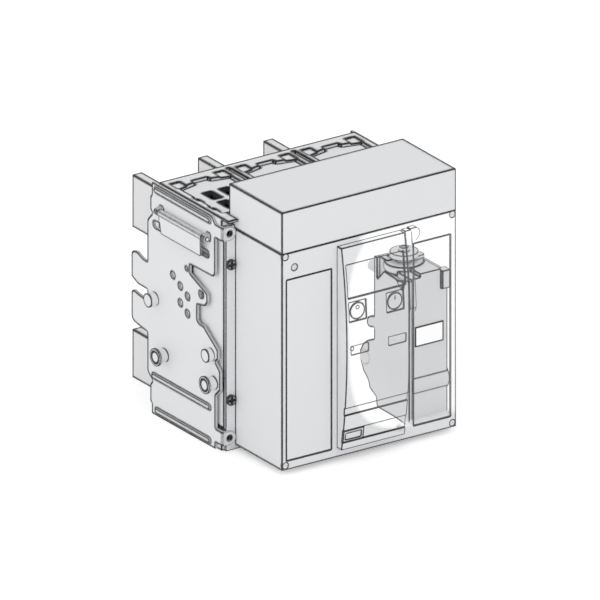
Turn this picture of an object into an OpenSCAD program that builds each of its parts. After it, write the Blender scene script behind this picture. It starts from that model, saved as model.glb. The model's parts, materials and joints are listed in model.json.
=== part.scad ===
// Withdrawable three-pole switch disconnector with an electrical operating mechanism.
// X runs across the front, Y from front to back and Z up, in millimetres. The origin is at the
// middle of the footprint, on the surface that the case stands on. The modules below measure Y
// from the face of the front cover, and place() moves what they make into the frame of the part.

/* [Poles] */
// Distance from one pole to the next
pole_pitch = 70; // [69:0.5:74]
// Width of the arc chamber in each pole
chamber_w = 56; // [52:1:58]
// Thickness of the plug-in blades
blade_t = 10; // [6:1:12]
// Height of the upper blades
blade_h = 50; // [40:1:52]
// Height of the lower blades
lower_blade_h = 46; // [40:1:48]
// How far the blades stand out behind the case
blade_reach = 86; // [60:1:90]
// Height of the lower blades above the floor
lower_blade_z = 0.2; // [0.1:0.1:2]
// Height of the upper blades above the floor
upper_blade_z = 144.5; // [140:0.5:150]

/* [Moulded case] */
// Height of the case
case_h = 223.5; // [222:0.5:232]
// Depth of the case behind the front frame
case_d = 100; // [99:1:108]
// Thickness of the case under the arc chambers
case_floor = 12; // [8:1:14]
// Thickness of the case behind the arc chambers
case_back = 12; // [9:1:13]
// Depth of the bay for the mechanism in the front of the case
bay_d = 20; // [18:1:21]
// Wall between the bay and the arc chambers
bay_wall = 6; // [4:0.5:7]
// Height of the bay's lower edge
bay_z = 18; // [16:1:24]
// Height of the bay
bay_h = 187; // [182:1:190]
// Depth of the recess for the arc chute covers in the top of the case
top_recess = 7.5; // [6:0.5:9]

/* [Front cover] */
// Width of the front cover
cover_w = 186; // [182:1:188]
// Depth of the front cover
cover_d = 74.8; // [72:0.2:80]
// Height of the cover's lower edge
cover_z = 4.6; // [2:0.2:6]
// Height of the front cover
cover_h = 207.4; // [206:0.2:212]
// Wall of the front cover
cover_wall = 2.4; // [2:0.1:3]
// Radius of the cover screws' heads
cover_screw_r = 2.6; // [2.2:0.1:2.8]
// Height of the hood over the front cover
hood_h = 40; // [34:1:50]
// Depth of the hood
hood_d = 84; // [82:0.5:85]
// Width of the left hand panel
left_panel_w = 48.2; // [40:0.2:49]
// Height of the left hand panel
left_panel_h = 173.5; // [150:0.5:180]
// Width of the clear panel in front of the gear motor
clear_panel_w = 39.6; // [34:0.2:40]
// Height of the clear panel
clear_panel_h = 174.9; // [150:0.5:180]

/* [Bezel and controls] */
// Width of the bezel
bezel_w = 67.5; // [64:0.5:68]
// Height of the bezel
bezel_h = 193.6; // [188:0.2:196]
// How far the middle of the bezel stands out of the cover
bezel_bulge = 16.2; // [15.4:0.1:18]
// How far the ends of the bezel stand out of the cover
bezel_end = 7.5; // [6:0.1:9]
// Wall of the bezel
bezel_wall = 3; // [2.4:0.1:3.2]
// Radius of the two push buttons
button_r = 7.5; // [6.5:0.1:8]
// Travel of the two push buttons
button_travel = 4; // [2:0.5:5]
// Travel of the two indicator flags
flag_travel = 9; // [8.5:0.5:10]
// Width of the indicator windows
window_w = 18.2; // [16:0.2:18.6]
// Height of the indicator windows
window_h = 8; // [7:0.2:8.4]
// Width of the charging handle
handle_w = 6.8; // [5:0.1:8]
// Height of the charging handle's top
handle_top = 208; // [200:1:210]
// Radius of the charging handle's shaft
handle_shaft_r = 3.4; // [2.6:0.1:3.6]

/* [Side plates] */
// Thickness of the steel side plates
plate_t = 2.4; // [2:0.1:3]
// Height of the side plates
plate_h = 222.4; // [221:0.2:226]
// Radius of the ears' rounded ends
ear_r = 6.7; // [6:0.1:7]
// Radius of the bolt holes in the ears
ear_hole_r = 3.2; // [2.5:0.1:3.6]
// Height of the lower ears' bolt holes
ear_z = 13; // [11:0.5:15]
// Distance between the lower and the upper ears' bolt holes
ear_pitch = 196.2; // [192:0.2:198]
// Radius of the rear guide studs
stud_r = 6.6; // [5:0.1:7]
// Length of the rear guide studs
stud_len = 8; // [6:0.5:10]
// Height of the rollers' axles
roller_z = 63; // [61:0.5:65]
// Radius of the rollers' treads
roller_r = 6.1; // [5.8:0.1:6.6]
// Radius of the rollers' flanges
roller_flange_r = 8.3; // [7.4:0.1:9]
// Length of the rollers
roller_len = 10.4; // [8:0.1:12]
// Radius of the rollers' axles
axle_r = 4.6; // [4:0.1:4.7]
// Length of the folding grips
grip_len = 69; // [60:0.5:69.5]
// How far the folding grips hang down
grip_drop = 18.3; // [14:0.1:20]

/* [Gear motor] */
// Width of the gear motor
motor_w = 43; // [40:0.5:44]
// Height of the gear motor's top
motor_top = 156; // [152:0.5:158]
// How far the gear motor stands behind the cover's face
motor_y = 6; // [5.2:0.1:8]
// Radius of the crank disc
crank_r = 13; // [11:0.5:14.5]
// Thickness of the motor's side plate
motor_plate_t = 3.5; // [2:0.1:4]

/* [Switching mechanism] */
// Radius of the pole shaft
shaft_r = 7; // [5:0.5:7.5]
// How far the contact arms lean forward when the poles are open, in degrees
open_angle = 14; // [10:1:14]
// How far the contact arms lean back when the poles are closed, in degrees
closed_angle = 8; // [6:1:9]
// Travel of the closing spring's crosshead
charge_travel = 20; // [10:1:26]
// Radius of the closing spring's coils
spring_r = 9; // [7.5:0.25:10]
// Thickness of the closing spring's wire
spring_wire = 2.8; // [2:0.2:3.2]

/* [Hidden] */
$fn = 48;

// Clearances
running = 0.05;
near = 0.3;
loose = 0.6;
over = 1;

// Colours
case_grey = [0.86, 0.87, 0.88];
cover_grey = [0.88, 0.88, 0.89];
motor_grey = [0.80, 0.81, 0.82];
steel = [0.84, 0.85, 0.86];
dark_steel = [0.45, 0.46, 0.48];
copper = [0.86, 0.72, 0.60];
pale = [0.95, 0.95, 0.95];
glass = [0.90, 0.94, 0.96, 0.4];

// Planes of the case, measured from the cover's face and the floor
frame_t = 3.2;
ear_band = 12;
case_w = max(3 * pole_pitch, cover_w + 2 * ear_band);
half_w = case_w / 2;
case_y = cover_d + frame_t;
case_end = case_y + case_d;
bay_y = case_y + bay_d;
bay_top = bay_z + bay_h;
bay_w = cover_w - 4;
chamber_y = bay_y + bay_wall;
chamber_end = case_end - case_back;
cover_top = cover_z + cover_h;
hood_top = cover_top + hood_h;
recess_z = case_h - top_recess;
blade_end = case_end + blade_reach;
mid_y = (blade_end - bezel_bulge) / 2;
pole_x = [-pole_pitch, 0, pole_pitch];
barrier_x = [-pole_pitch / 2, pole_pitch / 2];

// Arc chutes
chute_gap = 1.2;
chute_t = top_recess - 2.5;
chute_front = case_y + 10.3;
chute_back = chamber_end - 10;
chute_tail = 4;
tongue_w = 16;
tongue_len = 4.5;
cheek_t = 4;
cheek_gap = 2;
cheek_h = 48;
plate_count = 8;
splitter_t = 1.6;
splitter_pitch = 5.2;
vent_w = 10;
vent_len = 18;
vent_pitch = [17.6, 24.5];
clip_w = 2.5;
clip_len = 10;

// Relief in the case's sides, and the ledge over the ears
relief_t = 2.4;
relief_len = 50;
ledge_t = 2.4;
ledge_len = 10;
pocket_x = 23.5;
pocket_w = 11;
pocket_depth = 1.2;
clip_y = [chute_back - 29, chute_back - 54];

// Barrier slots between the poles
barrier_t = 3.6;
barrier_depth = 25.5;
barrier_y = case_y + 30;
barrier_end = case_end - 6;

// Pole shaft and contact arms
shaft_y = chamber_y + 28;
shaft_z = 70;
bush_wall = 2;
bush_len = 5;
bush_t = 3;
hub_r = 12;
arm_len = 86;
arm_root = 18;
arm_tip = 9;
finger_w = 6;
finger_pitch = 10;
finger_count = 4;
pad_h = 16;
pad_t = 2;
block_w = 36;
block_t = 12;
block_root = 11;
tip_w = block_w - 4;
tip_t = 7.5;
lever_x = barrier_x[0];
lever_t = 6;
lever_len = 44;
lever_r = 6;
lever_angle = -11;

// Mechanism
mech_inset = 5;
mech_clear = 65;
mech_depth = 40;
mech_x = [-bay_w / 2 + mech_inset, cover_w / 2 - mech_clear];
mech_front = bay_y - mech_depth;
mech_wall = 2;
mech_z = [bay_z + 6, bay_top - 5];
lever_clear = 7.5;
side_inset = 20.5;
side_x = [lever_x + lever_clear, mech_x[1] - side_inset];
side_t = 3;
mech_hole_r = 7;
mech_hole_z = [92, 120, 150];
spring_x = (side_x[0] + side_x[1]) / 2;
spring_y = bay_y - 14;
spring_low = 72;
spring_len = 88;
bar_t = 6;
rod_r = 4;
crosshead_t = 6;
ratchet_y = bay_y - 22;
ratchet_z = 56;
ratchet_r = 5;
ratchet_teeth = 16;
ratchet_wheel_r = 13;
spring_turns = 9;

// Gear motor
motor_x = cover_w / 2 - cover_wall - loose - motor_w;
motor_end = motor_x + motor_w;
motor_back = ratchet_y - 14.5;
motor_step = 3.5;
motor_rise = 2;
motor_ring_r = 17.7;
motor_ring_h = 8;
crank_x = motor_x + 17.6;
crank_y = motor_y + 34.2;
pawl_z = motor_top + 1.4;
pawl_t = 3.2;
pawl_gap = 0.4;
crank_z = pawl_z + pawl_t + pawl_gap;
crank_t = 5;
spindle_r = 4;
label_x = motor_x + 7;
label_y = 0.9;
label_z = 86.7;
label_w = 30.5;
label_h = 19.2;
label_t = 0.6;

// Bezel
bezel_x = [-bezel_w / 2 - 0.75, bezel_w / 2 - 0.75];
bezel_z = [110.2 - bezel_h / 2, 110.2 + bezel_h / 2];
bezel_mid = (bezel_z[0] + bezel_z[1]) / 2;
bezel_sag = bezel_bulge - bezel_end;
bezel_r = (pow(bezel_h / 2, 2) + pow(bezel_sag, 2)) / (2 * bezel_sag);
inner_x = [bezel_x[0] + bezel_wall, bezel_x[1] - bezel_wall];
inner_z = [bezel_z[0] + bezel_wall, bezel_z[1] - bezel_wall];
band_z = [160, 191];
band_depth = 1.4;
rib_z = [48.1, 55.1];
foot_z = [20.7, 32.8];
groove = 1;
button_z = 147.2;
off_x = -22.1;
on_x = 18;
button_square = 18.3;
button_head = 6;
button_stem_r = 3.5;
button_sink = 0.5;
collar_t = 1.5;
window_z = 106.6;
window_x = [-20.5, 19.6];
flag_t = 1.2;
flag_drop = 10.6;
stem_w = 3;
stem_h = 6;
bracket_t = 2.5;
bracket_z = [60, 175];
handle_x = bezel_x[1] + loose;
pivot_y = -8;
pivot_z = 136;
pivot_r = 7;
tab_w = 9.6;

// Side plates, measured from the back of the ears
plate_front = 9.8;
plate_edge = 117.6;
hook_y = 142.7;
ear_x = cover_w / 2 + loose + ear_r;
bend_r = 1;
bead_h = 4.8;
bead_t = 1.2;
grip_z = 199.5;
grip_x = half_w + plate_t + 3.6;
grip_pin_r = 2;
grip_y = 23.5;
lug_w = 5;
roller_y = [11.9, 89.7];
stud_rear = [105.6, 111.6];
stud_front = [16.9, 88.5];
plate_holes = [[77.2, 144], [65.4, 137.5], [53.9, 131.4], [65.3, 121.4], [53.9, 114.9]];

// Corner number i of an outline of [a, b, radius] corners, as the points of its round
function corner(c, i) =
  let (
    n = len(c),
    p = [c[i][0], c[i][1]],
    before = [c[(i + n - 1) % n][0], c[(i + n - 1) % n][1]] - p,
    after = [c[(i + 1) % n][0], c[(i + 1) % n][1]] - p,
    u = before / norm(before),
    w = after / norm(after),
    half = acos(max(-1, min(1, u * w))) / 2,
    reach = min(c[i][2] / tan(half), 0.49 * min(norm(before), norm(after))),
    radius = reach * tan(half),
    middle = p + (u + w) / norm(u + w) * (radius / sin(half)),
    s = p + u * reach - middle,
    e = p + w * reach - middle,
    first = atan2(s[1], s[0]),
    turn = (atan2(e[1], e[0]) - first + 540) % 360 - 180,
    steps = max(1, ceil(abs(turn) / 22))
  )
  [for (k = [0 : steps]) middle + radius * [cos(first + turn * k / steps), sin(first + turn * k / steps)]];

function rounded(c) = [for (i = [0 : len(c) - 1]) each (c[i][2] > 0 ? corner(c, i) : [[c[i][0], c[i][1]]])];

// Where the bezel's curved face lies at the height z
function face_y(z) = bezel_r - bezel_bulge - sqrt(pow(bezel_r, 2) - pow(z - bezel_mid, 2));

module place() translate([0, -mid_y, 0]) children();

module box(x, y, z) translate([x[0], y[0], z[0]]) cube([x[1] - x[0], y[1] - y[0], z[1] - z[0]]);

module rod_x(r, x, y, z) translate([x[0], y, z]) rotate([0, 90, 0]) cylinder(r = r, h = x[1] - x[0]);

module rod_y(r, x, y, z) translate([x, y[1], z]) rotate([90, 0, 0]) cylinder(r = r, h = y[1] - y[0]);

module rod_z(r, x, y, z) translate([x, y, z[0]]) cylinder(r = r, h = z[1] - z[0]);

// Extrudes an outline drawn in Y and Z from one X to another
module across(x) translate([x[0], 0, 0]) rotate([90, 0, 90]) linear_extrude(x[1] - x[0]) children();

// Extrudes an outline drawn in X and Z from one Y to another
module along(y) translate([0, y[1], 0]) rotate([90, 0, 0]) linear_extrude(y[1] - y[0]) children();

module both_sides() {
  children();
  mirror([1, 0, 0]) children();
}

// Moulded case

module chute_outline(gap) {
  half = chamber_w / 2 - chute_gap + gap;
  polygon([
    [-half, chute_front - gap], [half, chute_front - gap], [half, chute_back + gap],
    [tongue_w / 2 + over + gap, chute_back + chute_tail + gap],
    [tongue_w / 2 + gap, chute_back + chute_tail + gap],
    [tongue_w / 2 + gap, chute_back + chute_tail + tongue_len + gap],
    [-tongue_w / 2 - gap, chute_back + chute_tail + tongue_len + gap],
    [-tongue_w / 2 - gap, chute_back + chute_tail + gap],
    [-tongue_w / 2 - over - gap, chute_back + chute_tail + gap], [-half, chute_back + gap]
  ]);
}

module pole_cavity() {
  throat = chamber_w / 2 - 1;
  box([-chamber_w / 2, chamber_w / 2], [chamber_y, chamber_end], [case_floor, recess_z - 8]);
  box([-throat, throat], [chamber_y, chute_back - 2], [recess_z - 8 - over, recess_z + over]);
  translate([0, 0, recess_z]) linear_extrude(top_recess + over) chute_outline(loose);
  for (s = [-1, 1]) {
    box([s * pocket_x - pocket_w / 2, s * pocket_x + pocket_w / 2], [chute_back, chamber_end + 4],
        [case_h - pocket_depth, case_h + over]);
    for (y = clip_y)
      box([s * chamber_w / 2 - 1.4, s * chamber_w / 2 + 1.4], [y - clip_len / 2, y + clip_len / 2],
          [recess_z + over, case_h + over]);
  }
  box([-blade_t / 2 - running, blade_t / 2 + running], [chamber_end - over, case_end + over],
      [upper_blade_z - running, upper_blade_z + blade_h + running]);
  box([-blade_t / 2 - running, blade_t / 2 + running], [chamber_end - over, case_end + over],
      [case_floor + 2 - running, lower_blade_z + lower_blade_h + running]);
}

module shaft_bores() {
  rod_x(shaft_r + 0.5, [-half_w + bush_wall + bush_len, half_w - bush_wall - bush_len], shaft_y, shaft_z);
  both_sides()
    rod_x(shaft_r + bush_t, [half_w - bush_wall - bush_len - over, half_w - bush_wall], shaft_y, shaft_z);
  box([lever_x - lever_t / 2 - 1.5, lever_x + lever_t / 2 + 1.5], [bay_y - over, shaft_y + hub_r + 1.5],
      [shaft_z - 22, shaft_z + 22]);
}

module case_base() {
  color(case_grey) place() difference() {
    union() {
      box([-half_w, half_w], [case_y, case_end], [0, case_h]);
      both_sides()
        box([cover_w / 2 + 1, half_w], [case_y - ledge_len, case_y + over], [case_h - ledge_t, case_h]);
    }
    both_sides()
      box([half_w - relief_t, half_w + over], [case_y - over, case_y + relief_len],
          [ear_z + ear_r + 1, ear_z + ear_pitch - ear_r - 1]);
    box([-cover_w / 2 - 1, cover_w / 2 + 1], [case_y - over, hood_d + 2], [cover_top - 1, case_h + over]);
    box([-bay_w / 2, bay_w / 2], [case_y - over, bay_y], [bay_z, bay_top]);
    for (x = pole_x) translate([x, 0, 0]) pole_cavity();
    for (x = barrier_x)
      box([x - barrier_t / 2, x + barrier_t / 2], [barrier_y, barrier_end],
          [case_h - barrier_depth, case_h + over]);
    shaft_bores();
    for (x = [-frame_screw_x, frame_screw_x], z = frame_screw_z)
      rod_y(frame_screw_r, x, [case_y - over, case_y + frame_screw_len + 2], z);
    for (x = [-ear_x, ear_x], z = [ear_z, ear_z + ear_pitch])
      rod_y(ear_hole_r, x, [case_y - over, case_y + ear_bolt_len], z);
    for (x = motor_foot_x, z = motor_foot_z) rod_y(motor_screw_r, x, [bay_y - over, bay_y + 4], z);
  }
}

module arc_chute(x) {
  half = chamber_w / 2 - chute_gap;
  vent_y = chute_back - 24.5;
  cheek = chamber_w / 2 - cheek_gap;
  color(case_grey) place() translate([x, 0, 0]) {
    difference() {
      translate([0, 0, recess_z]) linear_extrude(chute_t) chute_outline(0);
      for (s = [-1, 1], row = [0 : 1])
        box([s * vent_pitch[0] / 2 - vent_w / 2, s * vent_pitch[0] / 2 + vent_w / 2],
            [vent_y - row * vent_pitch[1] - vent_len / 2, vent_y - row * vent_pitch[1] + vent_len / 2],
            [recess_z - over, case_h]);
      for (s = [-1, 1], y = clip_y)
        box([s * half - clip_w, s * half + clip_w], [y - clip_len / 2, y + clip_len / 2],
            [recess_z + over, case_h]);
    }
    difference() {
      box([-cheek, cheek], [chamber_y + 2, chute_back - 3], [recess_z - cheek_h, recess_z]);
      box([-cheek + cheek_t, cheek - cheek_t], [chamber_y + 2 + cheek_t, chute_back - 3 - over],
          [recess_z - cheek_h - over, recess_z + chute_t / 2]);
    }
  }
}

module arc_plates() {
  inside = chamber_w / 2 - cheek_gap - cheek_t;
  first = chamber_y + 2 + cheek_t + near;
  color(dark_steel) place() for (x = pole_x, i = [0 : plate_count - 1])
    translate([x, 0, 0]) difference() {
      box([-inside, inside], [first + i * splitter_pitch, first + i * splitter_pitch + splitter_t],
          [recess_z - cheek_h + 3, recess_z - 2]);
      translate([0, 0, recess_z - cheek_h]) along([first - over, chute_back])
        polygon([[-9, 0], [9, 0], [2, 22], [-2, 22]]);
    }
}

// Plug-in blades and contacts

module upper_terminal(x) {
  color(copper) place() translate([x, 0, 0]) {
    box([-blade_t / 2, blade_t / 2], [chamber_end - block_t, blade_end],
        [upper_blade_z, upper_blade_z + blade_h]);
    box([-block_w / 2, block_w / 2], [chamber_end - block_t, chamber_end],
        [shaft_z + arm_len - 24, shaft_z + arm_len + 2]);
    translate([0, shaft_y, shaft_z]) rotate([-closed_angle, 0, 0])
      box([-tip_w / 2, tip_w / 2], [arm_tip / 2 + pad_t + near, arm_tip / 2 + pad_t + near + tip_t],
          [arm_len - pad_h - 2, arm_len - 2]);
  }
}

module lower_terminal(x) {
  wall_z = case_floor + 2;
  color(copper) place() translate([x, 0, 0]) {
    box([-blade_t / 2, blade_t / 2], [case_end, blade_end], [lower_blade_z, lower_blade_z + lower_blade_h]);
    box([-blade_t / 2, blade_t / 2], [chamber_end - over, case_end],
        [wall_z, lower_blade_z + lower_blade_h]);
    box([-block_w / 2, block_w / 2], [shaft_y - block_root, chamber_end],
        [wall_z + 20, wall_z + 20 + block_t]);
    difference() {
      box([-block_w / 2, block_w / 2], [shaft_y - block_root, shaft_y + block_root],
          [wall_z + 20 + block_t - over, shaft_z - 6]);
      rod_x(hub_r + near, [-block_w, block_w], shaft_y, shaft_z);
    }
  }
}

// A row of contact fingers on one hub, drawn upright and then leaned forward
module moving_contact(x) {
  color(copper) place() translate([x, shaft_y, shaft_z]) rotate([open_angle, 0, 0]) difference() {
    union() {
      rod_x(hub_r, [-block_w / 2, block_w / 2], 0, 0);
      for (i = [0 : finger_count - 1]) {
        left = (i - (finger_count - 1) / 2) * finger_pitch - finger_w / 2;
        across([left, left + finger_w])
          polygon(rounded([
            [-arm_root / 2, 0, 0], [arm_root / 2, 0, 0], [arm_tip / 2, arm_len - pad_h - 8, 3],
            [arm_tip / 2, arm_len, 2], [-arm_tip / 2, arm_len, 3], [-arm_tip / 2, arm_len - pad_h - 8, 3]
          ]));
        box([left, left + finger_w], [arm_tip / 2 - 1, arm_tip / 2 + pad_t],
            [arm_len - pad_h - 2, arm_len - 2]);
      }
    }
    rod_x(shaft_r + running, [-block_w, block_w], 0, 0);
  }
}

module pole_shaft() {
  color(dark_steel) place() {
    rod_x(shaft_r, [-half_w + bush_wall + 0.5, half_w - bush_wall - 0.5], shaft_y, shaft_z);
    difference() {
      translate([0, shaft_y, shaft_z]) rotate([-lever_angle, 0, 0]) {
        rod_x(hub_r, [lever_x - lever_t / 2, lever_x + lever_t / 2], 0, 0);
        rod_x(lever_r, [lever_x - lever_t / 2, lever_x + lever_t / 2], -lever_len, 0);
        box([lever_x - lever_t / 2, lever_x + lever_t / 2], [-lever_len, 0], [-lever_r, lever_r]);
      }
      translate([0, shaft_y, shaft_z]) rotate([-lever_angle, 0, 0])
        rod_x(lever_r / 2, [lever_x - lever_t, lever_x + lever_t], -lever_len, 0);
    }
  }
}

module shaft_bushes() {
  inner = half_w - bush_wall - bush_len;
  color(pale) place() both_sides() difference() {
    rod_x(shaft_r + bush_t, [inner, inner + bush_len], shaft_y, shaft_z);
    rod_x(shaft_r + running, [inner - over, inner + bush_len + over], shaft_y, shaft_z);
  }
}

// Front frame

frame_screw_r = 2.5;
frame_head_r = 4.9;
frame_screw_len = 12;
ear_bolt_len = 16;
frame_screw_inset = 4.4;
frame_screw_z = [48.7, 178.8];
frame_w = case_w - 4.8;
frame_screw_x = frame_w / 2 - frame_screw_inset;

module front_frame() {
  color(steel) place() difference() {
    union() {
      box([-frame_w / 2, frame_w / 2], [cover_d, case_y], [0, cover_top - 1]);
      both_sides() {
        box([cover_w / 2 + 0.5, frame_w / 2], [cover_d, case_y], [0, ear_z + ear_pitch + ear_r]);
        for (z = [ear_z, ear_z + ear_pitch])
          box([ear_x, half_w - bend_r - near], [cover_d, case_y], [z - ear_r, z + ear_r]);
      }
    }
    box([-bay_w / 2 + 0.5, bay_w / 2 - 0.5], [cover_d - over, case_y + over], [bay_z, bay_top - 1]);
    for (x = [-ear_x, ear_x], z = [ear_z, ear_z + ear_pitch])
      rod_y(ear_hole_r, x, [cover_d - over, case_y + over], z);
    for (x = [-frame_screw_x, frame_screw_x], z = frame_screw_z)
      rod_y(frame_screw_r + running, x, [cover_d - over, case_y + over], z);
    for (x = [-cover_screw_x, cover_screw_x], z = cover_screw_z)
      rod_y(cover_shank_r, x, [cover_d - over, case_y + over], z);
  }
}

module frame_screws() {
  color(dark_steel) place() for (x = [-frame_screw_x, frame_screw_x], z = frame_screw_z) {
    rod_y(frame_screw_r - running, x, [cover_d, case_y + frame_screw_len], z);
    difference() {
      rod_y(frame_head_r, x, [cover_d - 3, cover_d], z);
      box([x - 0.6, x + 0.6], [cover_d - 4, cover_d - 2], [z - 3.6, z + 3.6]);
      box([x - 3.6, x + 3.6], [cover_d - 4, cover_d - 2], [z - 0.6, z + 0.6]);
    }
  }
}

// Mechanism behind the cover

module mech_cover() {
  color(pale) place() difference() {
    box(mech_x, [mech_front, bay_y], mech_z);
    box([mech_x[0] + mech_wall, mech_x[1] - mech_wall], [mech_front + mech_wall, bay_y + over],
        [mech_z[0] + mech_wall, mech_z[1] - mech_wall]);
    rod_x(ratchet_r + over, [mech_x[1] - 2 * mech_wall, mech_x[1] + over], ratchet_y, ratchet_z);
  }
}

module mech_side(x) {
  color(steel) place() difference() {
    across([x - side_t / 2, x + side_t / 2])
      polygon(rounded([
        [bay_y - 36, mech_z[0] + 14, 6], [bay_y, mech_z[0] + 6, 0], [bay_y, mech_z[1] - 6, 0],
        [bay_y - 26, mech_z[1] - 6, 8], [bay_y - 30, 120, 8], [bay_y - 36, 100, 8]
      ]));
    rod_x(ratchet_r + running, [x - side_t, x + side_t], ratchet_y, ratchet_z);
    for (z = mech_hole_z) rod_x(mech_hole_r, [x - side_t, x + side_t], bay_y - 14, z);
  }
}

module spring_bars() {
  color(steel) place() difference() {
    for (z = [spring_low - bar_t, spring_low + spring_len + 2 * crosshead_t])
      box([side_x[0] + side_t / 2, side_x[1] - side_t / 2], [spring_y - 12, bay_y - 2], [z, z + bar_t]);
    rod_z(rod_r + running, spring_x, spring_y, [0, case_h]);
  }
}

module spring_rod() {
  top = spring_low + spring_len + 2 * crosshead_t + bar_t;
  color(steel) place() {
    rod_z(rod_r, spring_x, spring_y, [spring_low - bar_t - 1, top + 1]);
    rod_z(rod_r + 2, spring_x, spring_y, [spring_low - bar_t - 2.5, spring_low - bar_t]);
    rod_z(rod_r + 2, spring_x, spring_y, [top, top + 2.5]);
    rod_z(rod_r + 1.6, spring_x, spring_y, [spring_low, spring_low + spring_len - charge_travel]);
  }
}

// A round wire wound on a helix: rings of points joined into one closed skin
module closing_spring() {
  sides = 8;
  steps = 14 * spring_turns;
  wire = spring_wire / 2;
  low = spring_low + wire + running;
  rise = spring_len - spring_wire - 2 * running;
  lean = atan(rise / (spring_turns * 2 * PI * spring_r));
  points = [for (i = [0 : steps], k = [0 : sides - 1])
    let (a = 360 * spring_turns * i / steps, b = 360 * k / sides)
    [(spring_r + wire * cos(b)) * cos(a) + wire * sin(b) * sin(lean) * sin(a),
     (spring_r + wire * cos(b)) * sin(a) - wire * sin(b) * sin(lean) * cos(a),
     low + rise * i / steps + wire * sin(b) * cos(lean)]];
  skin = [for (i = [0 : steps - 1], k = [0 : sides - 1])
    [i * sides + k, (i + 1) * sides + k, (i + 1) * sides + (k + 1) % sides, i * sides + (k + 1) % sides]];
  ends = [[for (k = [0 : sides - 1]) k], [for (k = [sides - 1 : -1 : 0]) steps * sides + k]];
  color(steel) place() translate([spring_x, spring_y, 0]) polyhedron(points, concat(skin, ends));
}

module spring_crosshead() {
  low = spring_low + spring_len;
  color(dark_steel) place() difference() {
    union() {
      box([spring_x - 12, spring_x + 12], [spring_y - 12, spring_y + 11], [low, low + crosshead_t]);
      rod_z(rod_r + 3, spring_x, spring_y, [low, low + crosshead_t + 4]);
    }
    rod_z(rod_r + running, spring_x, spring_y, [low - over, low + 2 * crosshead_t]);
  }
}

module ratchet_shaft() {
  wheel_x = [side_x[1] + side_t / 2 + 4, side_x[1] + side_t / 2 + 10];
  color(dark_steel) place() {
    rod_x(ratchet_r, [side_x[0] - side_t / 2 - 1.5, motor_x + motor_plate_t + 8], ratchet_y, ratchet_z);
    across(wheel_x)
      polygon([for (i = [0 : ratchet_teeth - 1], tip = [0, 1])
        let (a = 360 * i / ratchet_teeth + tip * 4, r = ratchet_wheel_r - (tip == 0 ? 2.5 : 0))
        [ratchet_y + r * cos(a), ratchet_z + r * sin(a)]]);
    rod_x(ratchet_r + 2, [side_x[1] + side_t / 2 + near, wheel_x[0]], ratchet_y, ratchet_z);
    rod_x(7, [side_x[0] + side_t / 2 + 4, side_x[0] + side_t / 2 + 10], ratchet_y, ratchet_z + 1.5);
  }
}

// Gear motor behind the clear panel

motor_foot_x = [motor_x + 14, motor_x + 35];
motor_foot_z = [58, 138];
motor_screw_r = 2;

// The motor from the side, from its foot up the back, closed by a top edge that runs to the front
module motor_profile(inset, top) {
  y = motor_y;
  r = ratchet_y - inset;
  polygon(rounded(concat([
    [y, 12.8 + inset, 1], [y + 8.7, 12.4 + inset, 1], [y + 21.4, 13.8 + inset, 2],
    [r + inset - 18.5, 14 + inset, 3],
    [r - 17.7, 23.3, 2], [r - 7.4, 28.5, 2], [r - 5, 35.3, 3], [r + 2.9, 42.2, 3], [r + 7.7, 52.1, 3],
    [r + 7.7, 59.8, 3], [r + 2.9, 68.1, 3], [r - 4.2, 73.5, 3], [r - 14.5, 78.4, 1], [r - 14.5, 89, 1],
    [r - 9, 87.1, 1], [r - 5, 87.2, 1], [r - 2.6, 90.2, 2], [r - 4.2, 95.6, 1], [r - 9, 98.6, 1],
    [r - 14.5, 100, 1]
  ], top)));
}

module motor_side_plate() {
  top = motor_top + motor_rise;
  wall = motor_back - 4.5;
  color(motor_grey) place() difference() {
    union() {
      across([motor_x, motor_x + motor_plate_t]) motor_profile(0, [
        [motor_back, top, 1], [wall, top, 0.5], [wall, motor_top - 19, 0.5], [wall - 11, motor_top - 7.5, 1],
        [motor_y + 19.3, motor_top - 8.6, 1], [motor_y, motor_top - motor_step, 1]
      ]);
      across([motor_x - 1.5, motor_x + 1])
        polygon([
          [motor_y + 19, motor_top - 8.8], [motor_y + 10, motor_top - 16], [motor_y + 7, motor_top - 6]
        ]);
    }
    rod_x(ratchet_r + 0.5, [motor_x - over, motor_x + motor_plate_t + over], ratchet_y, ratchet_z);
  }
}

module motor_housing() {
  x0 = motor_x + motor_plate_t;
  top = motor_top + motor_rise;
  low = motor_top - motor_ring_h;
  y0 = motor_y + 1.5;
  color(motor_grey) place() difference() {
    union() {
      intersection() {
        across([x0, motor_end - 1])
          motor_profile(1.2, [[motor_back - 1.2, motor_top, 0], [motor_y, motor_top, 0]]);
        box([x0, motor_end], [y0, bay_y], [0, motor_top - motor_step]);
      }
      box([x0, x0 + 5.5], [motor_back - 15.5, motor_back - 1.5], [motor_top - 22, top]);
      box([x0, x0 + 26], [motor_back - 6.3, motor_back - 1.5], [low, top]);
      box([crank_x - 4.6, motor_end - 8], [y0, motor_back - 1.5], [low, motor_top]);
      box([motor_end - 8, motor_end], [motor_y - 1.4, motor_y + 7], [motor_top - 19, motor_top - 1.5]);
      rod_z(motor_ring_r, crank_x, crank_y, [motor_top - 7, motor_top + 1]);
      intersection() {
        rod_x(12.5, [x0, motor_end], motor_y + 11.8, 49.5);
        box([x0, motor_end], [motor_y - 0.7, motor_y + 12], [37, 62]);
      }
      for (x = motor_foot_x, z = motor_foot_z) rod_y(5, x, [motor_back - 6, bay_y], z);
    }
    rod_z(spindle_r + running, crank_x, crank_y, [motor_top - 20, motor_top + 2]);
    rod_x(ratchet_r + running, [x0 - over, x0 + 8.5], ratchet_y, ratchet_z);
    for (x = motor_foot_x, z = motor_foot_z) rod_y(motor_screw_r, x, [bay_y - 8, bay_y + over], z);
  }
}

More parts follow.
